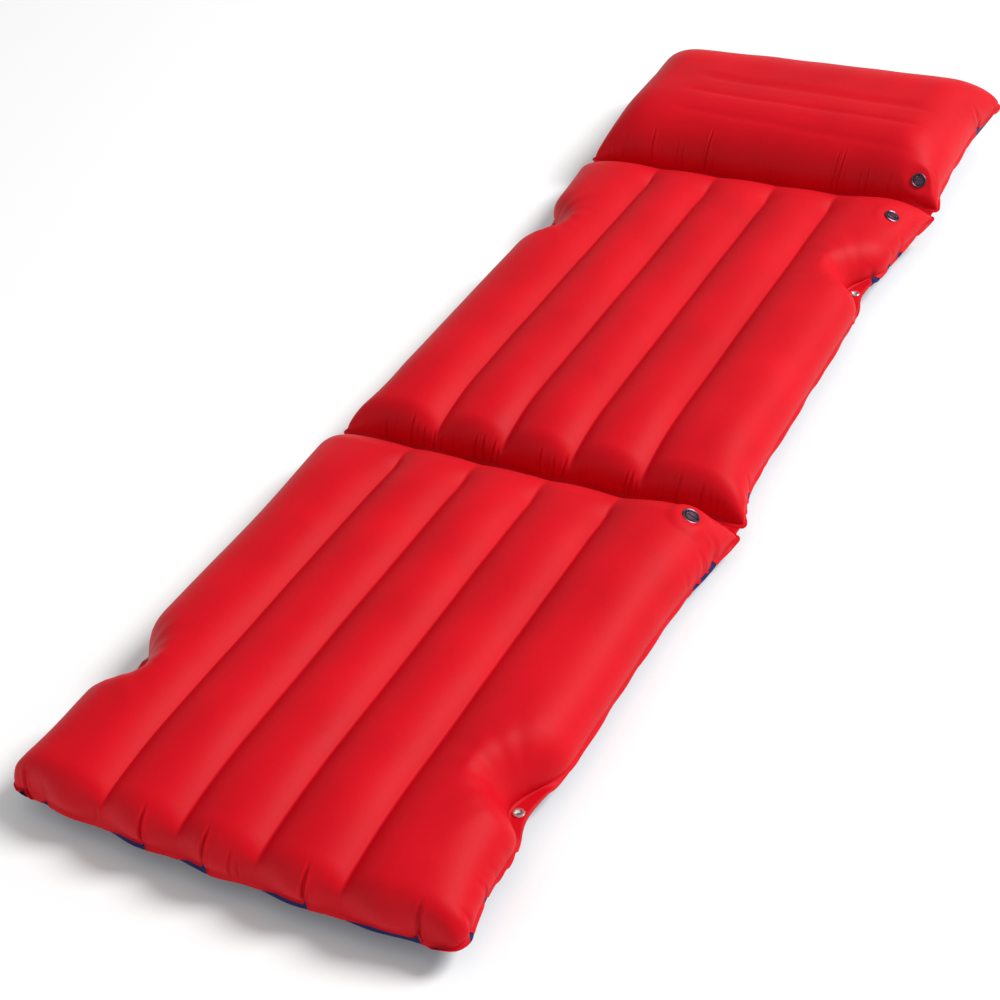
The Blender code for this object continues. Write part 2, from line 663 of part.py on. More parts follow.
def make_valve(section, top_sheet, collections, materials):
    """A screw valve: seat, patch and clamping ring on the sheet, seal and plug that screw out."""
    parts, cutters = collections
    prefix = section.name + "_valve_"
    point, normal = section.valve_plane
    matrix = axis_matrix(point, normal)
    rim_top = CONTACT_GAP + SEAT_RIM_HEIGHT
    rim_low = rim_top - SEAT_RIM_THICKNESS
    shelf = rim_top - SEAT_SHELF_DEPTH - PLUG_HEAD_THICKNESS
    seat_profile = [
        (SEAT_COUNTERBORE_RADIUS + RIM_ROUNDING, rim_top),
        ((SEAT_RADIUS + SEAT_COUNTERBORE_RADIUS) / 2, rim_top + RIM_ROUNDING),
        (SEAT_RADIUS - RIM_ROUNDING, rim_top), (SEAT_RADIUS, rim_top - 2 * RIM_ROUNDING),
        (SEAT_RADIUS, CONTACT_GAP), (SEAT_BARREL_RADIUS, CONTACT_GAP),
        (SEAT_BARREL_RADIUS, -SEAT_DEPTH), (SEAT_BORE_RADIUS, -SEAT_DEPTH),
        (SEAT_BORE_RADIUS, shelf), (SEAT_COUNTERBORE_RADIUS, shelf),
        (SEAT_COUNTERBORE_RADIUS, rim_low)]
    add_turned(prefix + "seat", seat_profile, TURNED_STEPS, matrix, parts, materials["valve"])

    hole = SEAT_BARREL_RADIUS + CONTACT_GAP
    patch_top = -SHEET_THICKNESS - CONTACT_GAP
    patch_foot = patch_top - PATCH_THICKNESS
    patch_profile = [(PATCH_RADIUS, patch_top), (PATCH_RADIUS, patch_foot), (hole, patch_foot),
                     (hole, patch_top)]
    add_turned(prefix + "patch", patch_profile, TURNED_STEPS, matrix, parts, materials["rubber"])

    ring_top = patch_foot - CONTACT_GAP
    ring_foot = ring_top - CLAMP_RING_THICKNESS
    ring_profile = [(CLAMP_RING_RADIUS, ring_top), (CLAMP_RING_RADIUS, ring_foot),
                    (hole, ring_foot), (hole, ring_top)]
    add_turned(prefix + "clamp_ring", ring_profile, TURNED_STEPS, matrix, parts,
               materials["valve"])

    seal_foot = shelf + CONTACT_GAP
    seal_top = seal_foot + SEAL_THICKNESS
    seal_outer = SEAT_COUNTERBORE_RADIUS - CONTACT_GAP
    seal_inner = PLUG_SHANK_RADIUS + CONTACT_GAP
    seal_profile = [(seal_outer, seal_top), (seal_outer, seal_foot), (seal_inner, seal_foot),
                    (seal_inner, seal_top)]
    add_turned(prefix + "seal", seal_profile, TURNED_STEPS, matrix, parts, materials["rubber"])

    head_foot = seal_top + CONTACT_GAP
    head_top = head_foot + PLUG_HEAD_THICKNESS
    head_outer = SEAT_COUNTERBORE_RADIUS - 2 * CONTACT_GAP
    plug_profile = [
        (0.0, head_top - PLUG_DISH_DEPTH),
        (head_outer - 3 * RIM_ROUNDING, head_top - PLUG_DISH_DEPTH),
        (head_outer - 2 * RIM_ROUNDING, head_top), (head_outer - RIM_ROUNDING, head_top),
        (head_outer, head_top - RIM_ROUNDING), (head_outer, head_foot),
        (PLUG_SHANK_RADIUS, head_foot), (PLUG_SHANK_RADIUS, head_foot - PLUG_SHANK_LENGTH),
        (0.0, head_foot - PLUG_SHANK_LENGTH)]
    plug = add_turned(prefix + "plug", plug_profile, TURNED_STEPS, matrix, parts,
                      materials["valve"])
    slot_floor = head_top - PLUG_DISH_DEPTH - PLUG_SLOT_DEPTH
    slot_height = PLUG_DISH_DEPTH + PLUG_SLOT_DEPTH + CUT_OVERRUN
    slot = add_cutter_box(
        "cut_" + prefix + "slot", (2 * SEAT_RADIUS, PLUG_SLOT_WIDTH, slot_height),
        (0, 0, slot_floor + slot_height / 2), matrix, cutters)
    add_boolean(plug, slot)

    cutter = add_cutter_cylinder("cut_" + prefix + "hole", hole, -SEAT_DEPTH, CUT_OVERRUN,
                                 matrix, cutters)
    add_boolean(top_sheet, cutter)


def make_band(name, y, height, half_width, collection, material):
    """The cloth band along a fold, between the flanges of two sections."""
    mesh = bpy.data.meshes.new(name)
    shape = bmesh.new()
    bmesh.ops.create_cube(shape, size=1)
    bmesh.ops.scale(shape, verts=shape.verts, vec=(2 * half_width, BAND_WIDTH, BAND_THICKNESS))
    shape.to_mesh(mesh)
    shape.free()
    band = add_object(name, mesh, collection, material)
    band.location = (0, y, height)
    bevel = band.modifiers.new("Soft edge", 'BEVEL')
    bevel.width = BAND_THICKNESS / 4
    bevel.segments = 1
    return band


def build():
    for old in list(bpy.data.objects):
        bpy.data.objects.remove(old)
    parts = new_collection(COLLECTION_NAME)
    cutters = new_collection(CUTTER_COLLECTION_NAME)
    collections = (parts, cutters)
    materials = {
        "red": make_material("red_cloth", (0.73, 0.01, 0.02), 0.55, 0),
        "navy": make_material("navy_cloth", (0.013, 0.012, 0.08), 0.55, 0),
        "web": make_material("web_cloth", (0.45, 0.30, 0.26), 0.8, 0),
        "valve": make_material("dark_nickel", (0.22, 0.19, 0.22), 0.3, 1),
        "eyelet": make_material("bright_nickel", (0.75, 0.72, 0.68), 0.25, 1),
        "rubber": make_material("black_rubber", (0.03, 0.03, 0.03), 0.7, 0)}
    legs, back, pillow = make_sections()
    for section in (legs, back, pillow):
        top_sheet = make_sheet(
            section.name + "_top_sheet", section, section.top_columns(), section.top_rows(),
            section.top, materials["red"], parts)
        bottom_sheet = make_sheet(
            section.name + "_bottom_sheet", section, section.bottom_columns(),
            section.bottom_rows(), section.bottom, materials["navy"], parts)
        if section.eyelet_y is not None:
            make_eyelets(section, (top_sheet, bottom_sheet), collections, materials)
            make_tube_webs(section, parts, materials["web"])
        else:
            make_pillow_webs(section, parts, materials["web"])
        make_valve(section, top_sheet, collections, materials)
    make_band("back_fold_band", BACK_FOLD_Y, BACK_FOLD_HEIGHT,
              BACK_FOLD_HALF_WIDTH - CORNER_RADIUS, parts, materials["red"])
    make_band("pillow_fold_band", PILLOW_FOLD_Y, PILLOW_FOLD_HEIGHT,
              PILLOW_FOLD_HALF_WIDTH - CORNER_RADIUS, parts, materials["red"])


build()
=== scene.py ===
"""Dressed model of a folding inflatable lounge mattress.

Three air sections, legs, back and pillow, are made as welded cloth casings, with their webs, fold
bands, screw valves and eyelets, and set on a studio floor. Units are metres, +Z is up and +Y
points to the head.
"""
import math

import bmesh
import bpy
import numpy as np
from bpy.props import CollectionProperty, FloatProperty, FloatVectorProperty, IntProperty
from bpy.props import PointerProperty, StringProperty
from mathutils import Matrix, Vector


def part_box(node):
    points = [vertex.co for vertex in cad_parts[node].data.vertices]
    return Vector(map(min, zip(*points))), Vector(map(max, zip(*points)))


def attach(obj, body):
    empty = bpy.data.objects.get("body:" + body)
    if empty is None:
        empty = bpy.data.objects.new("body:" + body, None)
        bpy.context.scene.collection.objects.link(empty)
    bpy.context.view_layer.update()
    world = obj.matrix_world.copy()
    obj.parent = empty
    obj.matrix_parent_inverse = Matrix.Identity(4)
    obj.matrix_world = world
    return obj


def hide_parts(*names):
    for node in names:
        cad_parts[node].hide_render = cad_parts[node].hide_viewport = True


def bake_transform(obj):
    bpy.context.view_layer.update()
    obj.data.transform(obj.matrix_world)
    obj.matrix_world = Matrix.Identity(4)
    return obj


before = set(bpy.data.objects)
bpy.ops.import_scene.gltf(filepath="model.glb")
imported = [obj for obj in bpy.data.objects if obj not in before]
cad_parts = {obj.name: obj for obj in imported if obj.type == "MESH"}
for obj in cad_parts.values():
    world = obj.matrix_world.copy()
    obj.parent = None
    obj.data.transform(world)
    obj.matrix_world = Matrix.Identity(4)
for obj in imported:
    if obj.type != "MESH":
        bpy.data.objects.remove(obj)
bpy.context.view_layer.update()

bl_info = {
    "name": "Inflatable lounge mattress",
    "version": (1, 0, 0),
    "blender": (4, 5, 0),
    "location": "3D View > Sidebar > Mattress",
    "description": "Builds the cloth, valves, eyelets and studio of a folding lounge mattress",
    "category": "Object",
}

SECTIONS = ("legs", "back", "pillow")
SIDES = {"left": -1, "right": 1}

def in_metres(table):
    """The rows of a table, from tenths of a millimetre to metres."""
    return {name: {side: [tuple(value / 10000 for value in row) for row in rows]
                   for side, rows in sides.items()} for name, sides in table.items()}


# In both tables a place along a side is measured from the section's foot end, and along an end
# from the middle. Lengths are in tenths of a millimetre, and shares in ten-thousandths.

# Pinches in the welded rim: place, how far the red edge is drawn in, half width, and the length
# of the low tail before it. A pinch with a tail bares the navy cloth, the others draw both sheets.
PINCHES = in_metres({
    "legs": {
        "start": ((-2720, 90, 30, 100), (-2400, 58, 26, 80), (-950, 98, 34, 580),
                  (-120, 146, 46, 400), (1170, 112, 36, 640), (2500, 156, 38, 900)),
        "end": (),
        "right": ((300, 78, 40, 60), (790, 44, 40, 80), (1000, 20, 50, 0), (1210, 20, 50, 0),
                  (1450, 28, 50, 0), (2780, 14, 100, 0), (4600, 10, 140, 0), (6000, 18, 70, 0),
                  (6300, 42, 50, 160), (6510, 62, 50, 180), (6720, 130, 56, 200)),
        "left": ((200, 60, 40, 80), (830, 20, 80, 0), (2620, 26, 70, 0), (4300, 12, 120, 0),
                 (6400, 44, 60, 120), (6900, 60, 60, 120)),
    },
    "back": {
        "start": (),
        "end": (),
        "right": ((300, 22, 50, 0), (520, 26, 50, 0), (720, 62, 44, 100), (1350, 16, 80, 0),
                  (3300, 10, 120, 0), (5000, 22, 70, 0), (6320, 140, 80, 40), (6760, 56, 46, 120),
                  (7160, 60, 50, 140), (7750, 24, 60, 0)),
        "left": ((340, 60, 50, 100), (2300, 12, 120, 0), (5000, 20, 90, 0), (6400, 28, 80, 0),
                 (7430, 46, 60, 120), (7990, 60, 60, 100)),
    },
    "pillow": {
        "start": (),
        "end": ((-2700, 60, 50, 120), (-2000, 44, 50, 160), (-1200, 60, 60, 300),
                (-300, 46, 60, 200), (600, 60, 60, 300), (1400, 44, 50, 180), (2100, 60, 50, 240),
                (2750, 50, 50, 140)),
        "right": ((580, 56, 46, 100), (1400, 16, 80, 0), (2100, 10, 120, 0), (2760, 100, 60, 120),
                  (3300, 24, 60, 0)),
        "left": ((200, 44, 50, 80), (1260, 20, 90, 0), (2680, 60, 60, 140), (3430, 56, 50, 120)),
    },
})

# Pleats that climb a wall from the rim: place, depth, half width, share of the wall's height
# that they climb, and how far they lean along the rim on the way up.
PLEATS = in_metres({
    "legs": {
        "start": ((-2720, 40, 36, 8000, 10), (-2400, 16, 30, 5600, 0), (-1660, 10, 40, 5000, 20),
                  (-950, 48, 36, 9200, -10), (-120, 52, 38, 9400, 10), (-40, 14, 30, 6000, 40),
                  (220, 26, 32, 7600, 0), (320, 18, 30, 6000, -20), (1170, 48, 36, 9200, 0),
                  (1220, 12, 30, 6000, 0), (2500, 50, 38, 9200, 0), (2570, 14, 30, 5600, 0)),
        "end": ((-2400, 22, 36, 7200, 0), (-1900, 26, 34, 7800, 40), (-1050, 24, 34, 7400, 0),
                (-880, 28, 36, 8000, 0), (40, 24, 34, 7400, 30), (260, 28, 36, 8000, 0),
                (1080, 26, 34, 7600, 0), (1250, 22, 30, 7000, 0), (2050, 26, 36, 7800, 0),
                (2320, 22, 30, 7200, 0)),
        "right": ((300, 34, 44, 7400, 40), (760, 12, 36, 6600, -80), (1020, 14, 36, 7000, -120),
                  (1280, 14, 40, 7000, -140), (6000, 12, 40, 6600, 100), (6400, 14, 42, 7000, 140),
                  (6760, 26, 44, 7200, 60)),
        "left": ((270, 24, 40, 7000, 40), (1100, 12, 40, 6600, 0), (6400, 14, 40, 6600, 0),
                 (6900, 22, 44, 7000, 0)),
    },
    "back": {
        "start": ((-2360, 20, 30, 7200, 0), (-2230, 26, 28, 8000, 10), (-1965, 32, 30, 8600, 20),
                  (-1870, 18, 26, 7000, 0), (-1767, 24, 28, 7400, 0), (-1607, 30, 30, 8000, -10),
                  (-1486, 22, 26, 7000, 0), (-1281, 16, 26, 6800, 0), (-939, 28, 28, 7600, 20),
                  (-794, 32, 30, 7800, -30), (-680, 34, 30, 8400, 30), (-590, 20, 26, 7000, 0),
                  (87, 28, 30, 7600, -10), (201, 16, 24, 6600, 0), (285, 22, 26, 7000, 0),
                  (407, 36, 34, 8600, 50), (680, 12, 24, 6200, 0), (771, 12, 24, 6200, 0),
                  (1334, 26, 28, 8000, 50), (1405, 34, 30, 8200, 40), (1500, 18, 26, 6800, 20),
                  (1828, 14, 24, 6200, 0), (1900, 12, 24, 6200, 0), (2086, 32, 30, 9000, 50),
                  (2421, 34, 32, 8200, 40), (2565, 18, 28, 6800, 0), (2664, 20, 28, 6600, 0),
                  (2750, 16, 26, 6000, 0)),
        "end": ((-2200, 22, 30, 7400, 0), (-2000, 18, 28, 6800, 0), (-1200, 24, 30, 7800, 0),
                (-1000, 20, 28, 7000, 0), (-100, 24, 30, 7800, 0), (100, 18, 28, 6800, 0),
                (950, 24, 30, 7800, 0), (1150, 18, 28, 7000, 0), (2000, 24, 30, 7600, 0),
                (2300, 18, 28, 6800, 0)),
        "right": ((240, 12, 36, 5000, 0), (460, 12, 36, 5000, 0), (680, 18, 40, 6000, 40),
                  (6260, 22, 55, 6000, 100), (6790, 16, 40, 6000, 60), (7150, 16, 44, 6000, 60)),
        "left": ((340, 18, 40, 6000, 0), (7430, 20, 40, 6000, 0), (7990, 22, 40, 6400, 0)),
    },
    "pillow": {
        "start": ((-2762, 22, 34, 4400, 0), (-2487, 34, 34, 5600, 10), (-2300, 14, 26, 4000, 0),
                  (-1960, 46, 36, 6200, -40), (-1800, 16, 28, 4200, 0), (-1501, 30, 34, 5000, -40),
                  (-1400, 26, 30, 4800, -30), (-990, 46, 32, 7200, 60), (-850, 10, 26, 3600, 0),
                  (-300, 9, 28, 3400, 0), (200, 9, 28, 3400, 0), (900, 10, 28, 3600, 0),
                  (1280, 30, 28, 6600, 60), (1360, 36, 30, 7000, 90), (1471, 18, 26, 5000, 30),
                  (1738, 24, 28, 4600, 20), (1853, 26, 28, 5200, 30), (2000, 10, 24, 3600, 0),
                  (2212, 30, 30, 5000, 50), (2418, 26, 28, 4400, 40), (2487, 14, 26, 3800, 30),
                  (2680, 18, 30, 3600, 0)),
        "end": ((-2700, 22, 40, 5000, 0), (-2100, 22, 40, 5400, 0), (-1200, 26, 40, 5600, 0),
                (-300, 18, 40, 4800, 0), (600, 26, 40, 5600, 0), (1400, 18, 40, 4800, 0),
                (2100, 26, 40, 5600, 0), (2800, 22, 40, 5000, 0)),
        "right": ((620, 14, 44, 4000, 100), (1400, 8, 40, 3600, 0), (2680, 40, 48, 6000, -60),
                  (3300, 10, 40, 3600, 0)),
        "left": ((700, 14, 44, 4000, 0), (1260, 12, 44, 4000, 0), (2680, 20, 48, 5000, 0),
                 (3430, 16, 44, 4000, 0)),
    },
})

# How the pinches and the pleats run, as shares of their own depths and widths.
PINCH_STEPS = (-3.0, -2.2, -1.5, -0.9, -0.4, 0.0, 0.5, 1.0)
PINCH_LEAN = 0.35
PINCH_LIFT = 0.9
PINCH_RUN = 3
PINCH_POWER = 1.6
TAIL_GAIN = 2.5
MAX_CUT = 0.8
MOST_CUT = 0.9
PLEAT_GAIN = {"legs": 0.80, "back": 0.75, "pillow": 0.46}
PLEAT_SLIM = 0.50
SIDE_PLEAT_GAIN = 0.5
UNDER_PLEAT_GAIN = 0.5
PLEAT_RIDGE = 0.35
RIDGE_PLACE = 1.9
PLEAT_REACH = 3
PLEAT_FOOT = 0.10
END_PLEAT_FADE = (0.82, 1.08)
SIDE_PLEAT_FADE = (0.5, 1.0)

# Where the folds round an eyelet start and end, and how far they fan out, in radians.
PUCKER_START = (0.030, 0.055)
PUCKER_END = (0.075, 0.125)
PUCKER_FAN = (1.1, 1.5)

# How the points of a sheet are spread over it.
LEAST_ROW_GAP = 0.0005
LEAST_COLUMN_GAP = 0.6
CALM_ROW_GAIN = 2.2
ROW_GAIN = 1.5
TURN_GAIN = 1.1
RIM_SPANS = 4
SIDE_WALL = 0.066

# How the rims hang, and how deep a pleat or pinch must be for the full painted shade in its crease.
TURN_DEPTH = 0.001
TAB_FLAT_GAIN = 1.6
TAB_FLAT_REACH = 1.25
END_CALM = 0.045
CORNER_CALM = 0.02
FULL_CREASE = 0.004
FULL_DRAW = 0.012

# Valves and eyelets: the seat's top over the point it stands on, and the holes' sizes.
SEAT_TOP = 0.0029 + 0.0004
LAND_FADE = (0.004, 0.018)
EYELET_HOLE = 0.00475
VALVE_HOLE = 0.0104
EYELET_CUT = 0.008
VALVE_CUT = 0.006

# Webs, bands and the grips on the valves.
WEB_COUNT = 4
CREASE_COUNT = 3
WEB_GAP_GAIN = 1.35
WEB_INSET = 0.066
WEB_POINTS = 101
CREASE_POINTS = 61
WEB_ROWS = 7
WEB_WAVE = 0.0010
WEB_CLEARANCE = 0.0004

BAND_ROWS = 241
BAND_COLUMNS = 7
BAND_WAVE = 0.0009
GATHER_NOISE = 14.0
GATHER_SHIFT = 9.0
GATHER_EASE = 0.7
GRIP_WIDTH = 0.0009
GRIP_SINK = 0.0004

# Studio: a lamp has a place and a power in watts, and the camera's angles are in radians.
LAMPS = {"key_lamp": ((6.0, 3.8, 7.0), 960), "fill_lamp": ((-1.5, -6.0, 2.5), 34)}
LAMP_SIZE = 4.0
SKY_STRENGTH = 0.44
FLOOR_HALF = 14
FOCAL_LENGTH = 63.10
CAMERA_AZIMUTH = 0.5538538
CAMERA_ELEVATION = 0.6498705
CAMERA_ROLL = -0.1171976
CAMERA_PLACE = (0.97583131, -1.90133062, 1.46547395)


def length_prop(name, description, default):
    return FloatProperty(name=name, description=description, default=default, unit='LENGTH',
                         precision=4)


def share_prop(name, description, default):
    return FloatProperty(name=name, description=description, default=default, subtype='FACTOR',
                         min=0, max=1)


def colour_prop(name, description, default):
    return FloatVectorProperty(name=name, description=description, default=default,
                               subtype='COLOR', size=3, min=0, max=1)


class SectionSizes(bpy.types.PropertyGroup):
    """Plan and heights of one air section."""
    name: StringProperty(name="Section", description="Which air section this is")
    start_y: length_prop("Start", "Foot end of the section", -0.986)
    end_y: length_prop("End", "Head end of the section", -0.246)
    start_half: length_prop("Start half width", "Half width at the foot corners", 0.308)
    waist_half: length_prop("Waist half width", "Half width at the waist", 0.291)
    end_half: length_prop("End half width", "Half width at the head corners", 0.315)
    start_flare: length_prop("Start flare", "Reach of the foot corners' flare", 0.100)
    end_flare: length_prop("End flare", "Reach of the head corners' flare", 0.260)
    start_seam: length_prop("Start seam height", "Height of the weld at the foot end", 0.034)
    end_seam: length_prop("End seam height", "Height of the weld at the head end", 0.026)
    crown: length_prop("Crown height", "Height of the top of the channels", 0.098)
    start_bow: share_prop("Start bow", "Share of the bow at the foot end", 1)
    end_bow: share_prop("End bow", "Share of the bow at the head end", 0)
    start_rounding: length_prop("Start rounding", "Reach of the rounded foot end on top", 0.028)
    end_rounding: length_prop("End rounding", "Reach of the rounded head end on top", 0.052)
    foot_rounding: length_prop("Foot rounding", "Reach of the rounded ends below", 0.052)
    start_fullness: share_prop("Start fullness", "0.5 is round and less is squarer", 0.40)
    end_fullness: share_prop("End fullness", "0.5 is round and less is squarer", 0.50)
    side_fullness: share_prop("Side fullness", "0.5 is round and less is squarer", 0.40)
    start_taper: share_prop("Start taper", "How much thinner the foot end runs", 0.28)
    end_taper: share_prop("End taper", "How much thinner the head end runs", 0)
    near_gain: share_prop("Near valley gain", "How much deeper valleys run at a foot end", 0.25)
    under_fullness: share_prop("Under fullness", "0.5 is round and more is sharper", 0.62)
    flat_depth: length_prop("Floor press", "How deep the underside presses flat", 0.0008)
    eyelet_y: length_prop("Eyelet place", "Place of the eyelets, or 0 for none", -0.790)
    tab_depth: length_prop("Tab depth", "How far the weld draws in for the tab", 0.019)
    tab_foot: FloatProperty(name="Tab foot", default=1, min=0.5,
                            description="How much longer the tab runs to the foot")
    valve_x: length_prop("Valve across", "Place of the valve across", 0.266)
    valve_y: length_prop("Valve along", "Place of the valve along", -0.304)


class CasingSizes(bpy.types.PropertyGroup):
    """Sizes that all the casings share."""
    cloth: length_prop("Cloth", "Thickness of the coated cloth", 0.0008)
    gap: length_prop("Weld gap", "Space between the two sheets at the weld", 0.0003)
    rim: length_prop("Rim", "Width of the welded rim at the sides and free ends", 0.0050)
    fold_rim: length_prop("Fold rim", "Width of the welded rim at the folds", 0.009)
    corner: length_prop("Corner radius", "Radius of the corners at the free ends", 0.030)
    fold_corner: length_prop("Fold corner", "Radius of the corners at the folds", 0.014)
    bow: length_prop("End bow", "How far the free ends bow out", 0.010)
    scallop: length_prop("Scallop", "Bow of each channel's end", 0.004)
    bow_reach: length_prop("Bow reach", "How far in the bow fades", 0.110)
    pitch: length_prop("Channel pitch", "Distance from channel to channel", 0.105)
    top_depth: length_prop("Top valley depth", "Depth of the valleys on top", 0.023)
    bottom_depth: length_prop("Bottom valley depth", "Depth of the valleys below", 0.021)
    near_ease: share_prop("Near valley ease", "Less runs the valleys lower on a foot wall", 0.5)
    gain_reach: length_prop("Gain reach", "How far in the valleys run deeper", 0.120)
    far_start: length_prop("Far valley start", "Where a valley starts at a head end", 0.000)
    far_fade: length_prop("Far valley fade", "Where a valley is full depth at a head end", 0.086)
    taper_reach: length_prop("Taper reach", "How far in the ends run thinner", 0.150)
    valve_relief: length_prop("Valve relief", "How far from a valve the end runs full", 0.125)
    notch_depth: length_prop("Eyelet notch", "How far the edge draws in at an eyelet", 0.013)
    notch_reach: length_prop("Notch reach", "Half length of that notch", 0.060)
    head_stretch: FloatProperty(name="Head stretch", default=1.6, min=1,
                                description="How much longer notches run to the head")
    tab_ease: share_prop("Tab ease", "How much gentler the wall slopes behind a tab", 0.24)
    tab_reach: length_prop("Tab reach", "Half length of the tab", 0.050)
    crease_pitch: length_prop("Crease pitch", "Distance between the pillow's creases", 0.056)
    crease_depth: length_prop("Crease depth", "Depth of the pillow's creases", 0.0035)
    crease_reach: length_prop("Crease reach", "Half width of a crease", 0.024)
    crease_half: length_prop("Crease half length", "Half length of a crease", 0.210)
    crease_left: length_prop("Crease left end", "How much shorter creases are at left", 0.070)
    crease_core: length_prop("Crease core", "Half width of the sharp part of a crease", 0.010)
    crease_fade: length_prop("Crease fade", "Length over which a crease fades", 0.060)
    crease_centre: length_prop("Crease centre", "Middle crease from the pillow's fold", 0.123)
    side_reach: length_prop("Pillow side", "Reach of the pillow's rounded sides", 0.078)
    land: length_prop("Valve land", "Radius of the flat land round a valve", 0.0150)
    land_blend: length_prop("Land blend", "How far the land blends out", 0.022)
    tail_depth: length_prop("Pinch tail", "How far a pinch's tail draws the red edge in", 0.0056)
    under_short: length_prop("Under rim", "How much narrower the underside's rim is", 0.0008)
    draw_reach: length_prop("Draw reach", "How far in a pinch draws the wall up", 0.007)
    pleat_step: length_prop("Pleat step", "Distance between points across a pleat", 0.0011)
    top_step: length_prop("Top step", "Distance between points on the top sheets", 0.0026)
    under_step: length_prop("Underside step", "Distance between points below", 0.0040)
    busy_reach: length_prop("Busy reach", "How far in from an end the rows lie close", 0.165)
    overhang: length_prop("Overhang", "How far the walls bulge over the rim", 0.0042)
    droop: FloatProperty(name="Rim droop", description="How far the rims hang down",
                         default=math.radians(68), subtype='ANGLE')
    pucker: length_prop("Pucker", "Height of the folds that run from an eyelet", 0.0007)
    waver: length_prop("Waver", "Unevenness of the hand-made channels", 0.0007)


class TrimSizes(bpy.types.PropertyGroup):
    """Sizes of the bands, webs and valve grips."""
    band_width: length_prop("Band width", "Width of a fold band", 0.0118)
    band_overhang: length_prop("Band overhang", "How much longer a band runs at each end", 0.0185)
    band_thickness: length_prop("Band thickness", "Thickness of a fold band", 0.0011)
    band_waves: IntProperty(name="Band waves", description="Gathers along a band", default=46,
                            min=1)
    web_thickness: length_prop("Web thickness", "Thickness of a web", 0.0006)
    grip_count: IntProperty(name="Grip ridges", description="Ridges on a plug", default=28,
                            min=3)
    grip_radius: length_prop("Grip radius", "Middle of the ring of ridges", 0.0066)
    grip_length: length_prop("Grip length", "Length of a ridge", 0.0021)
    grip_height: length_prop("Grip height", "Height of a ridge", 0.00034)
    seed: IntProperty(name="Seed", description="Seed of the uneven gathers", default=7)


class Colours(bpy.types.PropertyGroup):
    """Colours of the finishes."""
    red: colour_prop("Red cloth", "Top side of the casings", (0.665, 0.0012, 0.010))
    navy: colour_prop("Navy cloth", "Underside of the casings", (0.018, 0.016, 0.10))
    web: colour_prop("Web cloth", "Webs inside the casings", (0.45, 0.30, 0.26))
    # Painted reflection: the valve metal's dark purple stands in for the red cloth and dim
    # surroundings that the nickel reflects.
    valve: colour_prop("Valve metal", "Dark nickel of the valves", (0.165, 0.092, 0.130))
    eyelet: colour_prop("Eyelet metal", "Bright nickel of the eyelets", (0.80, 0.77, 0.73))
    rubber: colour_prop("Rubber", "Seals and patches", (0.02, 0.02, 0.02))
    floor: colour_prop("Floor", "Studio floor", (0.99, 0.99, 0.99))


SECTION_VALUES = {
    "legs": {"end_rounding": 0.060, "end_taper": 0.29},
    "back": {
        "start_y": -0.2337, "end_y": 0.6037, "start_half": 0.315, "waist_half": 0.289,
        "end_half": 0.315, "start_flare": 0.110, "end_flare": 0.230, "start_seam": 0.026,
        "end_seam": 0.048, "start_bow": 0, "start_taper": 0.30, "start_rounding": 0.034,
        "start_fullness": 0.46, "near_gain": 0.55, "end_rounding": 0.058,
        "end_taper": 0.27, "eyelet_y": 0.345, "tab_depth": 0.024, "tab_foot": 1.5,
        "valve_x": 0.266, "valve_y": 0.512},
    "pillow": {
        "start_y": 0.6163, "end_y": 0.986, "start_half": 0.315, "waist_half": 0.300,
        "end_half": 0.324, "start_flare": 0.090, "end_flare": 0.150, "start_seam": 0.048,
        "end_seam": 0.074, "crown": 0.146, "start_bow": 0, "end_bow": 1,
        "start_rounding": 0.120, "end_rounding": 0.120, "foot_rounding": 0.070,
        "start_fullness": 0.48, "end_fullness": 0.48, "side_fullness": 0.45, "start_taper": 0,
        "flat_depth": 0.004, "eyelet_y": 0, "valve_x": 0.270, "valve_y": 0.641},
}


def bell(share):
    """A smooth bump: 1 at 0 and 0 from 1 on."""
    return np.where(np.abs(share) < 1, np.cos(np.pi * np.clip(share, -1, 1) / 2) ** 2, 0.0)


def flare(share):
    return np.clip(1 - share, 0, None) ** 2


def ramp(value, start, end):
    share = np.clip((value - start) / (end - start), 0, 1)
    return share * share * (3 - 2 * share)


def shoulder(distance, reach, fullness):
    """Share of the full height on a rounded edge, at a distance inside the weld."""
    rest = np.clip(1 - distance / reach, 0, 1)
    return np.where(distance > 0, (1 - rest ** (1 / fullness)) ** fullness, 0.0)


def node_points(name):
    """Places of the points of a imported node."""
    return np.array([vertex.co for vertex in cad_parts[name].data.vertices])


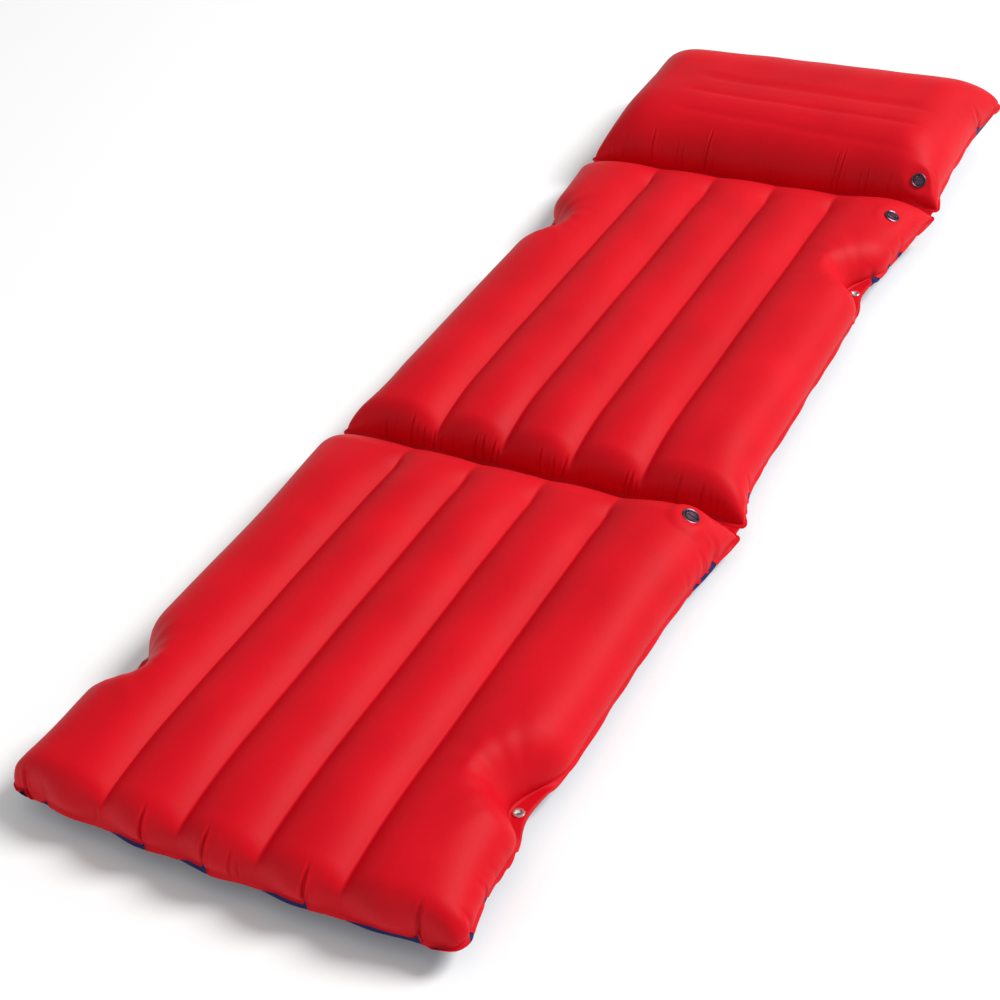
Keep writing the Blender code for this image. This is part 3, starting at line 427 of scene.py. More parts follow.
class Casing:
    """The form of one air section: its outline in plan, and the heights of its two sheets."""

    def __init__(self, sizes, common):
        self.sizes = sizes
        self.common = common
        self.name = sizes.name
        self.is_pillow = sizes.name == "pillow"
        self.start = sizes.start_y
        self.end = sizes.end_y
        self.lift = common.cloth + common.gap / 2
        self.crown_x = common.crease_half if self.is_pillow else 2 * common.pitch
        self.start_rim = common.rim if sizes.start_bow else common.fold_rim
        self.end_rim = common.rim if sizes.end_bow else common.fold_rim
        self.valve_point = None
        self.set_valve()

    def from_start(self, y):
        """Distance in from the foot end's weld."""
        return y - self.start - self.start_rim

    def from_end(self, y):
        """Distance in from the head end's weld."""
        return self.end - self.end_rim - y

    def end_in(self, y):
        """Distance in from the nearer end weld."""
        return np.minimum(self.from_start(y), self.from_end(y))

    def eyelet_bell(self, y, reach):
        if not self.sizes.eyelet_y:
            return np.zeros_like(y)
        away = y - self.sizes.eyelet_y
        return bell(np.where(away > 0, away / self.common.head_stretch, away) / reach)

    def tab_bell(self, y):
        foot = self.sizes.tab_foot
        away = y - self.sizes.eyelet_y
        return self.eyelet_bell(np.where(away < 0, self.sizes.eyelet_y + away / foot, y),
                                self.common.tab_reach)

    def edge(self, y):
        sizes, common = self.sizes, self.common
        half = sizes.waist_half + np.zeros_like(y)
        half += (sizes.start_half - sizes.waist_half) * flare((y - self.start) / sizes.start_flare)
        half += (sizes.end_half - sizes.waist_half) * flare((self.end - y) / sizes.end_flare)
        near = np.minimum(y - self.start, self.end - y)
        bow = np.where(self.end - y < y - self.start, sizes.end_bow, sizes.start_bow)
        corner = np.where(bow > 0, common.corner, common.fold_corner)
        inset = np.clip(corner - near, 0, corner)
        half -= corner - np.sqrt(corner ** 2 - inset ** 2)
        return half - common.notch_depth * self.eyelet_bell(y, common.notch_reach)

    def weld(self, y):
        tab = self.sizes.tab_depth * self.tab_bell(y)
        return self.edge(y) - self.common.rim - tab

    def seam(self, y):
        share = (y - self.start) / (self.end - self.start)
        return self.sizes.start_seam + (self.sizes.end_seam - self.sizes.start_seam) * share

    def bowed(self, x, y):
        sizes, common = self.sizes, self.common
        share = np.clip(np.abs(x) / sizes.waist_half, 0, 1)
        scallop = common.scallop * np.cos(np.pi * x / common.pitch) ** 2
        bow = common.bow * (1 - share * share) + scallop * (1 - share ** 4)
        start_push = sizes.start_bow * bow * flare((y - self.start) / common.bow_reach)
        end_push = sizes.end_bow * bow * flare((self.end - y) / common.bow_reach)
        return y - start_push + end_push

    def side_share(self, x, y, fullness):
        """Share of the full height that the side's rounding leaves, 0 on the weld."""
        weld = self.weld(y)
        reach = self.common.side_reach if self.is_pillow else weld - self.crown_x
        return shoulder(weld - np.abs(x), reach, fullness)

    def side_rise(self, x, y, fullness):
        """The same share, with the wall eased behind an eyelet's tab."""
        eased = fullness + self.common.tab_ease * self.eyelet_bell(y, self.common.notch_reach)
        return self.side_share(x, y, eased)

    def rise(self, x, y):
        """Share of the top's full height at a point, 0 on the weld."""
        sizes = self.sizes
        reach = self.common.taper_reach
        from_start, from_end = self.from_start(y), self.from_end(y)
        taper = 1 - sizes.start_taper * flare(from_start / reach)
        relief = bell((x - sizes.valve_x) / self.common.valve_relief)
        taper = taper * (1 - sizes.end_taper * (1 - relief) * flare(from_end / reach))
        ends = shoulder(from_start, sizes.start_rounding, sizes.start_fullness)
        ends = ends * shoulder(from_end, sizes.end_rounding, sizes.end_fullness)
        return self.side_rise(x, y, sizes.side_fullness) * ends * taper

    def sink(self, x, y):
        """Share of the underside's full depth at a point, 0 on the weld."""
        sizes = self.sizes
        end = shoulder(self.end_in(y), sizes.foot_rounding, sizes.under_fullness)
        return self.side_rise(x, y, sizes.under_fullness) * end

    def valley_share(self, y):
        """Share of the valleys' depth: they run to the foot end's wall and fade at the head."""
        sizes, common = self.sizes, self.common
        from_start = self.from_start(y)
        near = shoulder(from_start, sizes.start_rounding, sizes.start_fullness) ** common.near_ease
        near = near * (1 + sizes.near_gain * flare(np.clip(from_start, 0, None) / common.gain_reach))
        return near * ramp(self.from_end(y), common.far_start, common.far_fade)

    def creases(self, x, y):
        """Share of the crease depth on the pillow's top."""
        common = self.common
        reach = np.where(x < 0, -x + common.crease_left, x)
        across = 1 - ramp(reach, common.crease_half, common.crease_half + common.crease_fade)
        depth = np.zeros_like(x)
        for step, shift, share in ((-1, -0.02, 0.6), (0, 0.0, 0.85), (1, 0.03, 1.15)):
            place = self.start + common.crease_centre + common.crease_pitch * step
            away = y - place + 0.05 * (x - shift)
            line = bell(away / common.crease_reach) + bell(away / common.crease_core)
            depth += 0.5 * share * line
        return across * depth

    def waver(self, x, y):
        """Slow unevenness of the blown-up cloth."""
        wave = np.sin(31 * x + 7 * y + 1) * np.sin(17 * y - 5 * x)
        wave += 0.6 * np.sin(53 * x - 11 * y) * np.cos(29 * y + 2)
        return self.common.waver * wave

    def round_top(self, x, y):
        """Height of the top before its channels are pressed in."""
        base = self.seam(y) + self.lift
        height = self.sizes.crown - base
        if self.is_pillow:
            height = height - self.common.crease_depth * self.creases(x, y)
        return base + self.rise(x, y) * (height + self.waver(x, y))

    def valley(self, x):
        """Share of the valley depth across the channels, 0 on a crown."""
        common = self.common
        half = common.pitch / 2
        offset = np.abs(x) - common.pitch * np.round(np.abs(x) / common.pitch)
        radius = (half ** 2 + common.top_depth ** 2) / (2 * common.top_depth)
        sag = (radius - np.sqrt(radius ** 2 - offset ** 2)) / common.top_depth
        return (np.abs(x) < self.crown_x) * sag

    def top(self, x, y):
        height = self.round_top(x, y)
        if self.is_pillow:
            return height
        press = self.rise(x, y) * self.valley_share(y)
        return height - press * self.common.top_depth * self.valley(x)

    def round_bottom(self, x, y):
        base = self.seam(y) - self.lift
        return base - self.sink(x, y) * (base + self.sizes.flat_depth)

    def bottom(self, x, y):
        depth = 0 if self.is_pillow else self.common.bottom_depth
        press = self.sink(x, y) * self.valley_share(y)
        return np.maximum(self.round_bottom(x, y) + press * depth * self.valley(x), 0)

    def set_valve(self):
        """The plane of the valve's land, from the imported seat: its middle and its direction."""
        points = node_points(self.name + "_valve_seat")
        x, y = self.sizes.valve_x, self.sizes.valve_y
        step = self.common.land / 2
        ends = np.array([[x + step, y], [x - step, y], [x, y + step], [x, y - step], [x, y]])
        heights = self.top(ends[:, 0], ends[:, 1])
        slope_x = (heights[0] - heights[1]) / (2 * step)
        slope_y = (heights[2] - heights[3]) / (2 * step)
        self.valve_normal = Vector((-slope_x, -slope_y, 1)).normalized()
        middle = Vector((points.max(0) + points.min(0)) / 2)
        along = self.valve_normal
        reach = (points - np.array(middle)) @ np.array(along)
        self.valve_point = middle + along * (float(reach.max()) - SEAT_TOP)

    def press_land(self, points):
        """Flatten the top round the valve on the plane that the valve stands on."""
        point, normal, common = self.valve_point, self.valve_normal, self.common
        fall = (normal.x * (points[..., 0] - point.x) + normal.y * (points[..., 1] - point.y))
        fall = fall / normal.z
        reach = np.sqrt((points[..., 0] - point.x) ** 2 + (points[..., 1] - point.y) ** 2
                        + fall ** 2)
        weight = 1 - ramp(reach, common.land, common.land + common.land_blend)
        inside = self.weld(points[..., 1]) - np.abs(points[..., 0])
        weight = weight * ramp(inside, *LAND_FADE)
        points[..., 2] += weight * (point.z - fall - points[..., 2])
        return points


def rim_pinches(casing, side, along):
    """How far the pinches draw a rim in: the red sheet's alone, and both sheets' together."""
    red, both = np.zeros_like(along), np.zeros_like(along)
    for place, depth, width, tail in PINCHES[casing.name][side]:
        offset = along - place
        steep = np.clip(1 - offset / width, 0, 1) * (offset >= 0)
        run = np.clip(1 + offset / (PINCH_RUN * width), 0, 1)
        curved = run ** PINCH_POWER * (offset < 0)
        drawn = depth * (steep + curved)
        if tail:
            low = np.clip(TAIL_GAIN * (1 + offset / tail), 0, 1) * (offset < 0)
            red = np.maximum(red, np.maximum(drawn, casing.common.tail_depth * low))
        else:
            both = np.maximum(both, drawn)
    return red, both


def rim_cut(casing, side, along, wide, is_top):
    """How much shorter a pinched rim is, and how far its weld is drawn up the wall."""
    short = casing.common.under_short
    red, both = rim_pinches(casing, side, along)
    cut = np.minimum(red + both, MAX_CUT * wide)
    drawn = red + both - cut
    if not is_top:
        cut = np.minimum(both, MAX_CUT * wide) + short * np.clip(1 - red / short, 0, 1)
    return np.minimum(cut, MOST_CUT * wide), drawn


def pleat_profile(offset):
    """A sharp furrow with a low ridge on each side of it."""
    ridges = np.exp(-(offset - RIDGE_PLACE) ** 2) + np.exp(-(offset + RIDGE_PLACE) ** 2)
    return PLEAT_RIDGE * ridges - np.exp(-offset ** 2)


def surface_normals(points):
    """Outward directions of a grid of points, with +Z as the outward side."""
    down_rows = np.gradient(points, axis=0)
    along_columns = np.gradient(points, axis=1)
    normals = np.cross(along_columns, down_rows)
    length = np.linalg.norm(normals, axis=2, keepdims=True)
    return normals / np.maximum(length, 1e-12)


def middle_rows(casing, low, high, step):
    """Rows between the rounded ends, close together where the cloth is busy."""
    common = casing.common
    steps, y = [], low
    while y < high:
        busy = min(y - casing.start, casing.end - y) < common.busy_reach
        if casing.sizes.eyelet_y:
            busy = busy or abs(y - casing.sizes.eyelet_y) < common.notch_reach
        steps.append(step if busy else step * CALM_ROW_GAIN)
        y += steps[-1]
    scale = (high - low) / sum(steps)
    rows = [low + scale * sum(steps[:count]) for count in range(1, len(steps))]
    for side in SIDES:
        for place, _, width, tail in PINCHES[casing.name][side]:
            if tail:
                rows += [casing.start + place + width * share for share in PINCH_STEPS]
    rows = sorted(row for row in rows if low < row < high)
    kept = [low]
    for row in rows:
        if row - kept[-1] > LEAST_ROW_GAP and high - row > LEAST_ROW_GAP:
            kept.append(row)
    return kept[1:]


def inner_columns(casing, step):
    """Places of the columns between the outer crowns, close together at the pleats."""
    common = casing.common
    half = common.pitch / 2
    count = max(round(half / step), 1)
    if casing.is_pillow:
        count = max(round(casing.crown_x / step), 1)
        half = casing.crown_x
    spans = round(casing.crown_x / half)
    columns = [half * span + half * index / count for span in range(-spans, spans)
               for index in range(count)] + [casing.crown_x]
    fine = common.pleat_step * step / common.top_step
    for end in ("start", "end"):
        for place, _, width, _, lean in PLEATS[casing.name][end]:
            reach = PLEAT_REACH * width * PLEAT_SLIM
            columns += list(np.arange(place + min(lean, 0) - reach, place + max(lean, 0) + reach,
                                      fine))
        for place, _, width, tail in PINCHES[casing.name][end]:
            columns += [place + width * share for share in PINCH_STEPS]
            columns += [place - tail, place - 0.6 * tail]
    columns = sorted(column for column in columns if abs(column) <= casing.crown_x + 1e-9)
    valleys = [half * span for span in range(-spans, spans + 1)]
    kept = []
    for column in columns:
        is_valley = min(abs(column - valley) for valley in valleys) < 1e-9
        if kept and column - kept[-1] < LEAST_COLUMN_GAP * fine:
            if is_valley:
                kept[-1] = column
            continue
        kept.append(column)
    return kept


def end_turns(rounding, step):
    """Distances in from a weld of the rows over a rounded end."""
    count = round(rounding * TURN_GAIN / step) + 2
    return [rounding * (1 - math.cos(math.pi / 2 * index / count)) for index in range(count + 1)]


def grid_places(casing, step, roundings):
    """Columns and rows of a sheet's grid: columns as (side, fixed x, share, rim share)."""
    outer_count = round(2 * SIDE_WALL / step)
    turns = [math.sin(math.pi / 2 * index / outer_count) for index in range(1, outer_count + 1)]
    outer = [(casing.crown_x, share, 0) for share in turns]
    outer += [(casing.crown_x, 1, (index + 1) / RIM_SPANS) for index in range(RIM_SPANS)]
    inner = [(1 if column > 0 else -1, abs(column), 0, 0)
             for column in inner_columns(casing, step)]
    columns = [(-1, *column) for column in reversed(outer)] + inner
    columns += [(1, *column) for column in outer]

    start_in = casing.start + casing.start_rim
    end_in = casing.end - casing.end_rim
    rim_shares = [index / RIM_SPANS for index in range(RIM_SPANS)]
    rows = [casing.start + casing.start_rim * share for share in rim_shares]
    rows += [start_in + turn for turn in end_turns(roundings[0], step)]
    rows += middle_rows(casing, start_in + roundings[0], end_in - roundings[1],
                        step * ROW_GAIN)
    rows += [end_in - turn for turn in reversed(end_turns(roundings[1], step))]
    rows += [casing.end - casing.end_rim * share for share in reversed(rim_shares)]
    return columns, np.array(rows)


def flat_grid(casing, step, roundings):
    """Places in plan of a sheet's points, as arrays of x and y with a row for each y."""
    columns, rows = grid_places(casing, step, roundings)
    side, fixed, share, rim_share = (np.array(part, float) for part in zip(*columns))
    weld = casing.weld(rows)[:, None]
    edge = casing.edge(rows)[:, None]
    across = fixed + (weld - fixed) * share + (edge - weld) * rim_share
    x = side * across
    y = np.repeat(rows[:, None], len(columns), axis=1)
    return x, y


def grid_mesh(name, points, face_down):
    """A mesh of quads from a grid of points."""
    rows, columns = points.shape[:2]
    index = np.arange(rows * columns).reshape(rows, columns)
    quads = np.stack([index[:-1, :-1], index[:-1, 1:], index[1:, 1:], index[1:, :-1]], axis=-1)
    quads = quads.reshape(-1, 4)
    if face_down:
        quads = quads[:, ::-1]
    mesh = bpy.data.meshes.new(name)
    mesh.from_pydata(points.reshape(-1, 3).tolist(), [], quads.tolist())
    mesh.shade_smooth()
    return mesh


def get_points(mesh, shape):
    points = np.zeros(len(mesh.vertices) * 3, np.float32)
    mesh.vertices.foreach_get("co", points)
    return points.astype(float).reshape(shape)


def set_attribute(mesh, name, values):
    attribute = mesh.attributes.new(name, 'FLOAT', 'POINT')
    attribute.data.foreach_set("value", values.reshape(-1).astype(np.float32))


def set_cloth_map(mesh, points):
    """A UV map in metres of cloth, measured over the surface from its middle."""
    across = np.linalg.norm(np.diff(points, axis=1), axis=2)
    across = np.concatenate([np.zeros((points.shape[0], 1)), np.cumsum(across, axis=1)], axis=1)
    across -= across[:, points.shape[1] // 2][:, None]
    along = np.linalg.norm(np.diff(points, axis=0), axis=2)
    along = np.concatenate([np.zeros((1, points.shape[1])), np.cumsum(along, axis=0)], axis=0)
    write_cloth_map(mesh, np.stack([across, along], axis=-1).reshape(-1, 2))


def write_cloth_map(mesh, flat):
    """Set the UV map of the cloth from a flat place for each point."""
    corners = np.zeros(len(mesh.loops), np.int32)
    mesh.loops.foreach_get("vertex_index", corners)
    layer = mesh.uv_layers.new(name="cloth")
    layer.data.foreach_set("uv", flat[corners].reshape(-1).astype(np.float32))


class Graph:
    """A node tree that is built up a node at a time."""

    def __init__(self, tree):
        self.tree = tree

    def fill(self, node, inputs):
        """Set a node's inputs, each to a value or from another node's output."""
        for name, value in inputs.items():
            if isinstance(value, bpy.types.NodeSocket):
                self.tree.links.new(value, node.inputs[name])
            else:
                node.inputs[name].default_value = value

    def node(self, kind, inputs=None, **settings):
        node = self.tree.nodes.new(kind)
        for name, value in settings.items():
            setattr(node, name, value)
        self.fill(node, inputs or {})
        return node

    def math(self, operation, *values):
        inputs = dict(enumerate(values))
        return self.node('ShaderNodeMath', inputs, operation=operation).outputs[0]

    def vector(self, *parts):
        return self.node('ShaderNodeCombineXYZ', dict(enumerate(parts))).outputs[0]


class Tree(Graph):
    """A Geometry Nodes tree with named inputs, given as lists of labels by kind."""

    def __init__(self, name, **inputs):
        super().__init__(bpy.data.node_groups.new(name, 'GeometryNodeTree'))
        new_socket = self.tree.interface.new_socket
        for way in ('INPUT', 'OUTPUT'):
            new_socket("Geometry", in_out=way, socket_type='NodeSocketGeometry')
        for kind, labels in inputs.items():
            for label in labels:
                new_socket(label, in_out='INPUT', socket_type='NodeSocket' + kind)
        self.inputs = self.node('NodeGroupInput').outputs

    def position(self):
        """The x, y and z of each point."""
        place = self.node('GeometryNodeInputPosition').outputs[0]
        return self.node('ShaderNodeSeparateXYZ', {0: place}).outputs

    def lifted(self, geometry, height):
        """The geometry with its points moved up."""
        move = {"Geometry": geometry, "Offset": self.vector(0.0, 0.0, height)}
        return self.node('GeometryNodeSetPosition', move).outputs["Geometry"]

    def finish(self, geometry, material):
        """End the tree in real geometry with its material."""
        real = self.node('GeometryNodeRealizeInstances', {0: geometry}).outputs[0]
        paint = self.node('GeometryNodeSetMaterial', {"Geometry": real, "Material": material})
        self.node('NodeGroupOutput', {"Geometry": paint.outputs[0]})
        return self.tree


def set_inputs(modifier, values):
    """Set a modifier's inputs by the identifiers of its tree's sockets."""
    for item in modifier.node_group.interface.items_tree:
        if item.in_out == 'INPUT' and item.name in values:
            modifier[item.identifier] = values[item.name]


def channel_tree(material):
    """Press lengthwise channels into a sheet, by the arc from valley to valley."""
    tree = Tree("Channels", Float=("Pitch", "Depth", "Outer crown", "Direction"))
    pitch, depth = tree.inputs["Pitch"], tree.inputs["Depth"]
    across = tree.math('ABSOLUTE', tree.position()["X"])
    crown = tree.math('MULTIPLY', pitch, tree.math('ROUND', tree.math('DIVIDE', across, pitch)))
    offset = tree.math('SUBTRACT', across, crown)
    half = tree.math('DIVIDE', pitch, 2.0)
    squares = tree.math('ADD', tree.math('MULTIPLY', half, half), tree.math('MULTIPLY', depth, depth))
    radius = tree.math('DIVIDE', squares, tree.math('MULTIPLY', depth, 2.0))
    under = tree.math('SUBTRACT', tree.math('MULTIPLY', radius, radius),
                      tree.math('MULTIPLY', offset, offset))
    sag = tree.math('SUBTRACT', radius, tree.math('SQRT', under))
    press = tree.node('GeometryNodeInputNamedAttribute', {"Name": "press"}, data_type='FLOAT')
    within = tree.math('LESS_THAN', across, tree.inputs["Outer crown"])
    drop = tree.math('MULTIPLY', tree.math('MULTIPLY', sag, press.outputs["Attribute"]), within)
    height = tree.math('MULTIPLY', drop, tree.inputs["Direction"])
    return tree.finish(tree.lifted(tree.inputs["Geometry"], height), material)


def applied_mesh(piece):
    """The piece's mesh with its modifiers applied."""
    depsgraph = bpy.context.evaluated_depsgraph_get()
    depsgraph.update()
    return bpy.data.meshes.new_from_object(piece.evaluated_get(depsgraph))


def apply_modifiers(piece):
    """Put the finished mesh in the place of the plain one."""
    plain, done = piece.data, applied_mesh(piece)
    piece.modifiers.clear()
    piece.data = done
    bpy.data.meshes.remove(plain)


def add_wall(piece, thickness, offset):
    """Give a sheet of cloth its thickness."""
    wall = piece.modifiers.new("Cloth", 'SOLIDIFY')
    wall.thickness = thickness
    wall.offset = offset


def new_piece(name, data):
    piece = bpy.data.objects.new(name, data)
    bpy.context.scene.collection.objects.link(piece)
    return piece


def tree_mesh(name, group, values, place):
    """The mesh that a Geometry Nodes tree makes from its named inputs, moved to its place."""
    maker = new_piece(name, bpy.data.meshes.new(name))
    modifier = maker.modifiers.new(group.name, 'NODES')
    modifier.node_group = group
    set_inputs(modifier, values)
    mesh = applied_mesh(maker)
    bpy.data.objects.remove(maker)
    mesh.transform(place)
    mesh.name = name
    mesh.shade_smooth()
    return mesh


def press_channels(mesh, casing, points, is_top, material):
    """Run the channel tree on a sheet and return its points."""
    x, y = points[..., 0], points[..., 1]
    share = casing.rise(x, y) if is_top else casing.sink(x, y)
    set_attribute(mesh, "press", share * casing.valley_share(y))
    piece = new_piece("channel_work", mesh)
    modifier = piece.modifiers.new("Channels", 'NODES')
    modifier.node_group = channel_tree(material)
    common = casing.common
    set_inputs(modifier, {
        "Pitch": common.pitch, "Depth": common.top_depth if is_top else common.bottom_depth,
        "Outer crown": casing.crown_x - common.gap, "Direction": -1.0 if is_top else 1.0})
    pressed = applied_mesh(piece)
    moved = get_points(pressed, points.shape)
    bpy.data.objects.remove(piece)
    bpy.data.meshes.remove(pressed)
    return moved


def bulge(share):
    """A bump over a wall's height, 1 at a third of it and 0 on the weld and on top."""
    return 27 / 4 * share * (1 - share) ** 2


def bulge_walls(casing, points, x, y, size):
    """Blow the walls out over the rim, at the sides and at the ends."""
    sizes, common = casing.sizes, casing.common
    side = casing.side_share(x, y, sizes.side_fullness)
    at_end = casing.end - y < y - casing.start
    end = np.where(at_end, shoulder(casing.end_in(y), sizes.end_rounding, sizes.end_fullness),
                   shoulder(casing.end_in(y), sizes.start_rounding, sizes.start_fullness))
    flat = 1 - np.clip(casing.eyelet_bell(y, common.tab_reach), 0, 1)
    points[..., 0] += np.sign(x) * size * bulge(side) * end * flat
    head = np.where(at_end, sizes.end_bow, -sizes.start_bow)
    head = head + 0.35 * np.where(at_end, 1, -1) * (head == 0)
    phase = 1.0 if casing.is_pillow else 1 - 1.6 * np.sin(np.pi * x / common.pitch) ** 2
    points[..., 1] += head * phase * size * bulge(end) * side
    return points


def pleat_fade(climb, top, fade):
    """Share of a pleat's depth on its way up a wall, 0 on the weld and past the pleat's top."""
    return (1 - ramp(climb, top * fade[0], top * fade[1])) * ramp(climb, 0, PLEAT_FOOT)


def pleat_depth(casing, x, y, roundings):
    """Depth of the pleats at each point, to be taken along the surface's direction."""
    sizes = casing.sizes
    depth = np.zeros_like(x)
    for end, distance, rim, rounding, fullness in (
            ("start", y - casing.start, casing.start_rim, roundings[0], sizes.start_fullness),
            ("end", casing.end - y, casing.end_rim, roundings[1], sizes.end_fullness)):
        climb = shoulder(distance - rim, rounding, fullness)
        near = (distance < rim + rounding) * 1.0
        for place, deep, width, top, lean in PLEATS[casing.name][end]:
            middle = place + lean * climb
            fade = pleat_fade(climb, top, END_PLEAT_FADE) * near
            profile = pleat_profile((x - middle) / (width * PLEAT_SLIM))
            depth += PLEAT_GAIN[casing.name] * deep * fade * profile
    climb = casing.side_share(x, y, sizes.side_fullness)
    for side, sign in SIDES.items():
        near = (np.sign(x) == sign) * (np.abs(x) > casing.crown_x) * 1.0
        for place, deep, width, top, lean in PLEATS[casing.name][side]:
            middle = casing.start + place + lean * climb
            fade = pleat_fade(climb, top, SIDE_PLEAT_FADE) * near
            depth += SIDE_PLEAT_GAIN * deep * fade * pleat_profile((y - middle) / width)
    return depth


def eyelet_puckers(casing, x, y):
    """Soft folds that run from each eyelet over the cloth, taken along its direction."""
    if not casing.sizes.eyelet_y:
        return np.zeros_like(x)
    edge = casing.edge(np.array([casing.sizes.eyelet_y]))[0]
    away_x, away_y = edge - np.abs(x), y - casing.sizes.eyelet_y
    reach = np.hypot(away_x, away_y)
    angle = np.arctan2(away_y, away_x)
    folds = np.cos(11 * angle + 0.8 * np.sign(x)) * np.cos(4 * angle - 0.5)
    near = ramp(reach, *PUCKER_START) * (1 - ramp(reach, *PUCKER_END))
    return casing.common.pucker * folds * near * (1 - ramp(np.abs(angle), *PUCKER_FAN))


def hang_rims(casing, points, x, y, is_top):
    """Turn the rims down about the weld and pinch them, and return how far each point is drawn."""
    common = casing.common
    pulled = np.zeros_like(x)
    offset = casing.lift if is_top else -casing.lift
    weld, edge = casing.weld(y), casing.edge(y)
    tab = casing.eyelet_bell(y, common.tab_reach * TAB_FLAT_REACH)
    flat = np.clip(TAB_FLAT_GAIN * tab, 0, 1)
    droop = common.droop * (1 - flat) * ramp(casing.end_in(y), 0.0, END_CALM)
    droop = droop * (1 + 0.35 * np.sin(61 * y + 3 * np.sign(x)) * np.sin(23 * y))
    end_droop = 1 + 0.3 * np.sin(47 * x) * np.sin(19 * x + 1)
    end_droop = common.droop * ramp(edge - np.abs(x), 0.0, CORNER_CALM) * end_droop
    rims = [(side, 0, sign, np.sign(x) == sign, y - casing.start, edge - weld, np.abs(x) - weld,
             droop) for side, sign in SIDES.items()]
    rims.append(("start", 1, -1, 1, x, casing.start_rim, casing.start_rim - (y - casing.start),
                 casing.sizes.start_bow * end_droop))
    rims.append(("end", 1, 1, 1, x, casing.end_rim, casing.end_rim - (casing.end - y),
                 casing.sizes.end_bow * end_droop))
    for side, axis, sign, here, along, width, past, angle in rims:
        outside, inside = np.clip(past, 0, None), np.clip(-past, 0, None)
        cut, drawn = rim_cut(casing, side, along, width, is_top)
        hold = 1.0 if is_top else 1 - outside / width
        drawn = drawn * hold * np.exp(-(inside / common.draw_reach) ** 1.5) * here
        left = here * outside * (1 - cut / width)
        turned = offset * here * np.clip(outside / TURN_DEPTH, 0, 1)
        inward = here * outside - left * np.cos(angle) + PINCH_LEAN * drawn
        points[..., axis] += sign * (turned * np.sin(angle) - inward)
        points[..., 2] += PINCH_LIFT * drawn - left * np.sin(angle)
        points[..., 2] -= turned * (1 - np.cos(angle))
        pulled += drawn
    return points, pulled


def casing_points(casing, is_top, step, material):
    """Points of one sheet's outer face, and how deep its pleats and pinches are, as the share of
    painted shade in its creases.
    """
    sizes = casing.sizes
    roundings = (sizes.foot_rounding, sizes.foot_rounding)
    if is_top:
        roundings = (sizes.start_rounding, sizes.end_rounding)
    x, y = flat_grid(casing, step, roundings)
    height = casing.round_top(x, y) if is_top else casing.round_bottom(x, y)
    points = np.stack([x, y, height], axis=-1)
    if not casing.is_pillow:
        mesh = grid_mesh("channel_work", points, not is_top)
        points = press_channels(mesh, casing, points, is_top, material)
    points[..., 1] += casing.bowed(x, y) - y
    pleats = pleat_depth(casing, x, y, roundings) * (1.0 if is_top else UNDER_PLEAT_GAIN)
    if is_top:
        points = bulge_walls(casing, points, x, y, casing.common.overhang)
        pleats += eyelet_puckers(casing, x, y)
    outward = surface_normals(points) * (1 if is_top else -1)
    points += outward * pleats[..., None]
    if is_top:
        points = casing.press_land(points)
    points, drawn = hang_rims(casing, points, x, y, is_top)
    if not is_top:
        points[..., 2] = np.maximum(points[..., 2], 0)
    # Share of painted shade in the creases, full where a pleat or pinch is deep.
    crease = np.clip(np.abs(pleats) / FULL_CREASE + drawn / FULL_DRAW, 0, 1)
    return points, crease


class Paint(Graph):
    """A material that is built up a node at a time."""

    def __init__(self, name):
        self.material = bpy.data.materials.new(name)
        self.material.use_nodes = True
        super().__init__(self.material.node_tree)
        self.place = self.node('ShaderNodeTexCoord').outputs["Object"]

    def noise(self, scale, detail):
        inputs = {"Vector": self.place, "Scale": scale, "Detail": detail}
        return self.node('ShaderNodeTexNoise', inputs).outputs["Fac"]

    def tones(self, value, *stops):
        """Colours by a value, from (place, colour) pairs."""
        made = self.node('ShaderNodeValToRGB', {"Fac": value})
        for element, (place, colour) in zip(made.color_ramp.elements, stops):
            element.position = place
            element.color = (*colour, 1)
        return made.outputs["Color"]

    def mix(self, blend, factor, first, second):
        inputs = {"Factor": factor, "A": first, "B": second}
        made = self.node('ShaderNodeMix', data_type='RGBA', blend_type=blend)
        self.fill(made, inputs)
        return made.outputs["Result"]

    def between(self, value, low, high):
        inputs = {"Value": value, "To Min": low, "To Max": high}
        return self.node('ShaderNodeMapRange', inputs).outputs["Result"]

    def bump(self, height, strength, distance, **under):
        inputs = {"Height": height, "Strength": strength, "Distance": distance, **under}
        return self.node('ShaderNodeBump', inputs).outputs["Normal"]

    def finish(self, inputs):
        """Set the shader's inputs and return the material."""
        self.fill(self.tree.nodes["Principled BSDF"], inputs)
        return self.material


def scaled(colour, gain):
    return tuple(channel * gain for channel in colour)


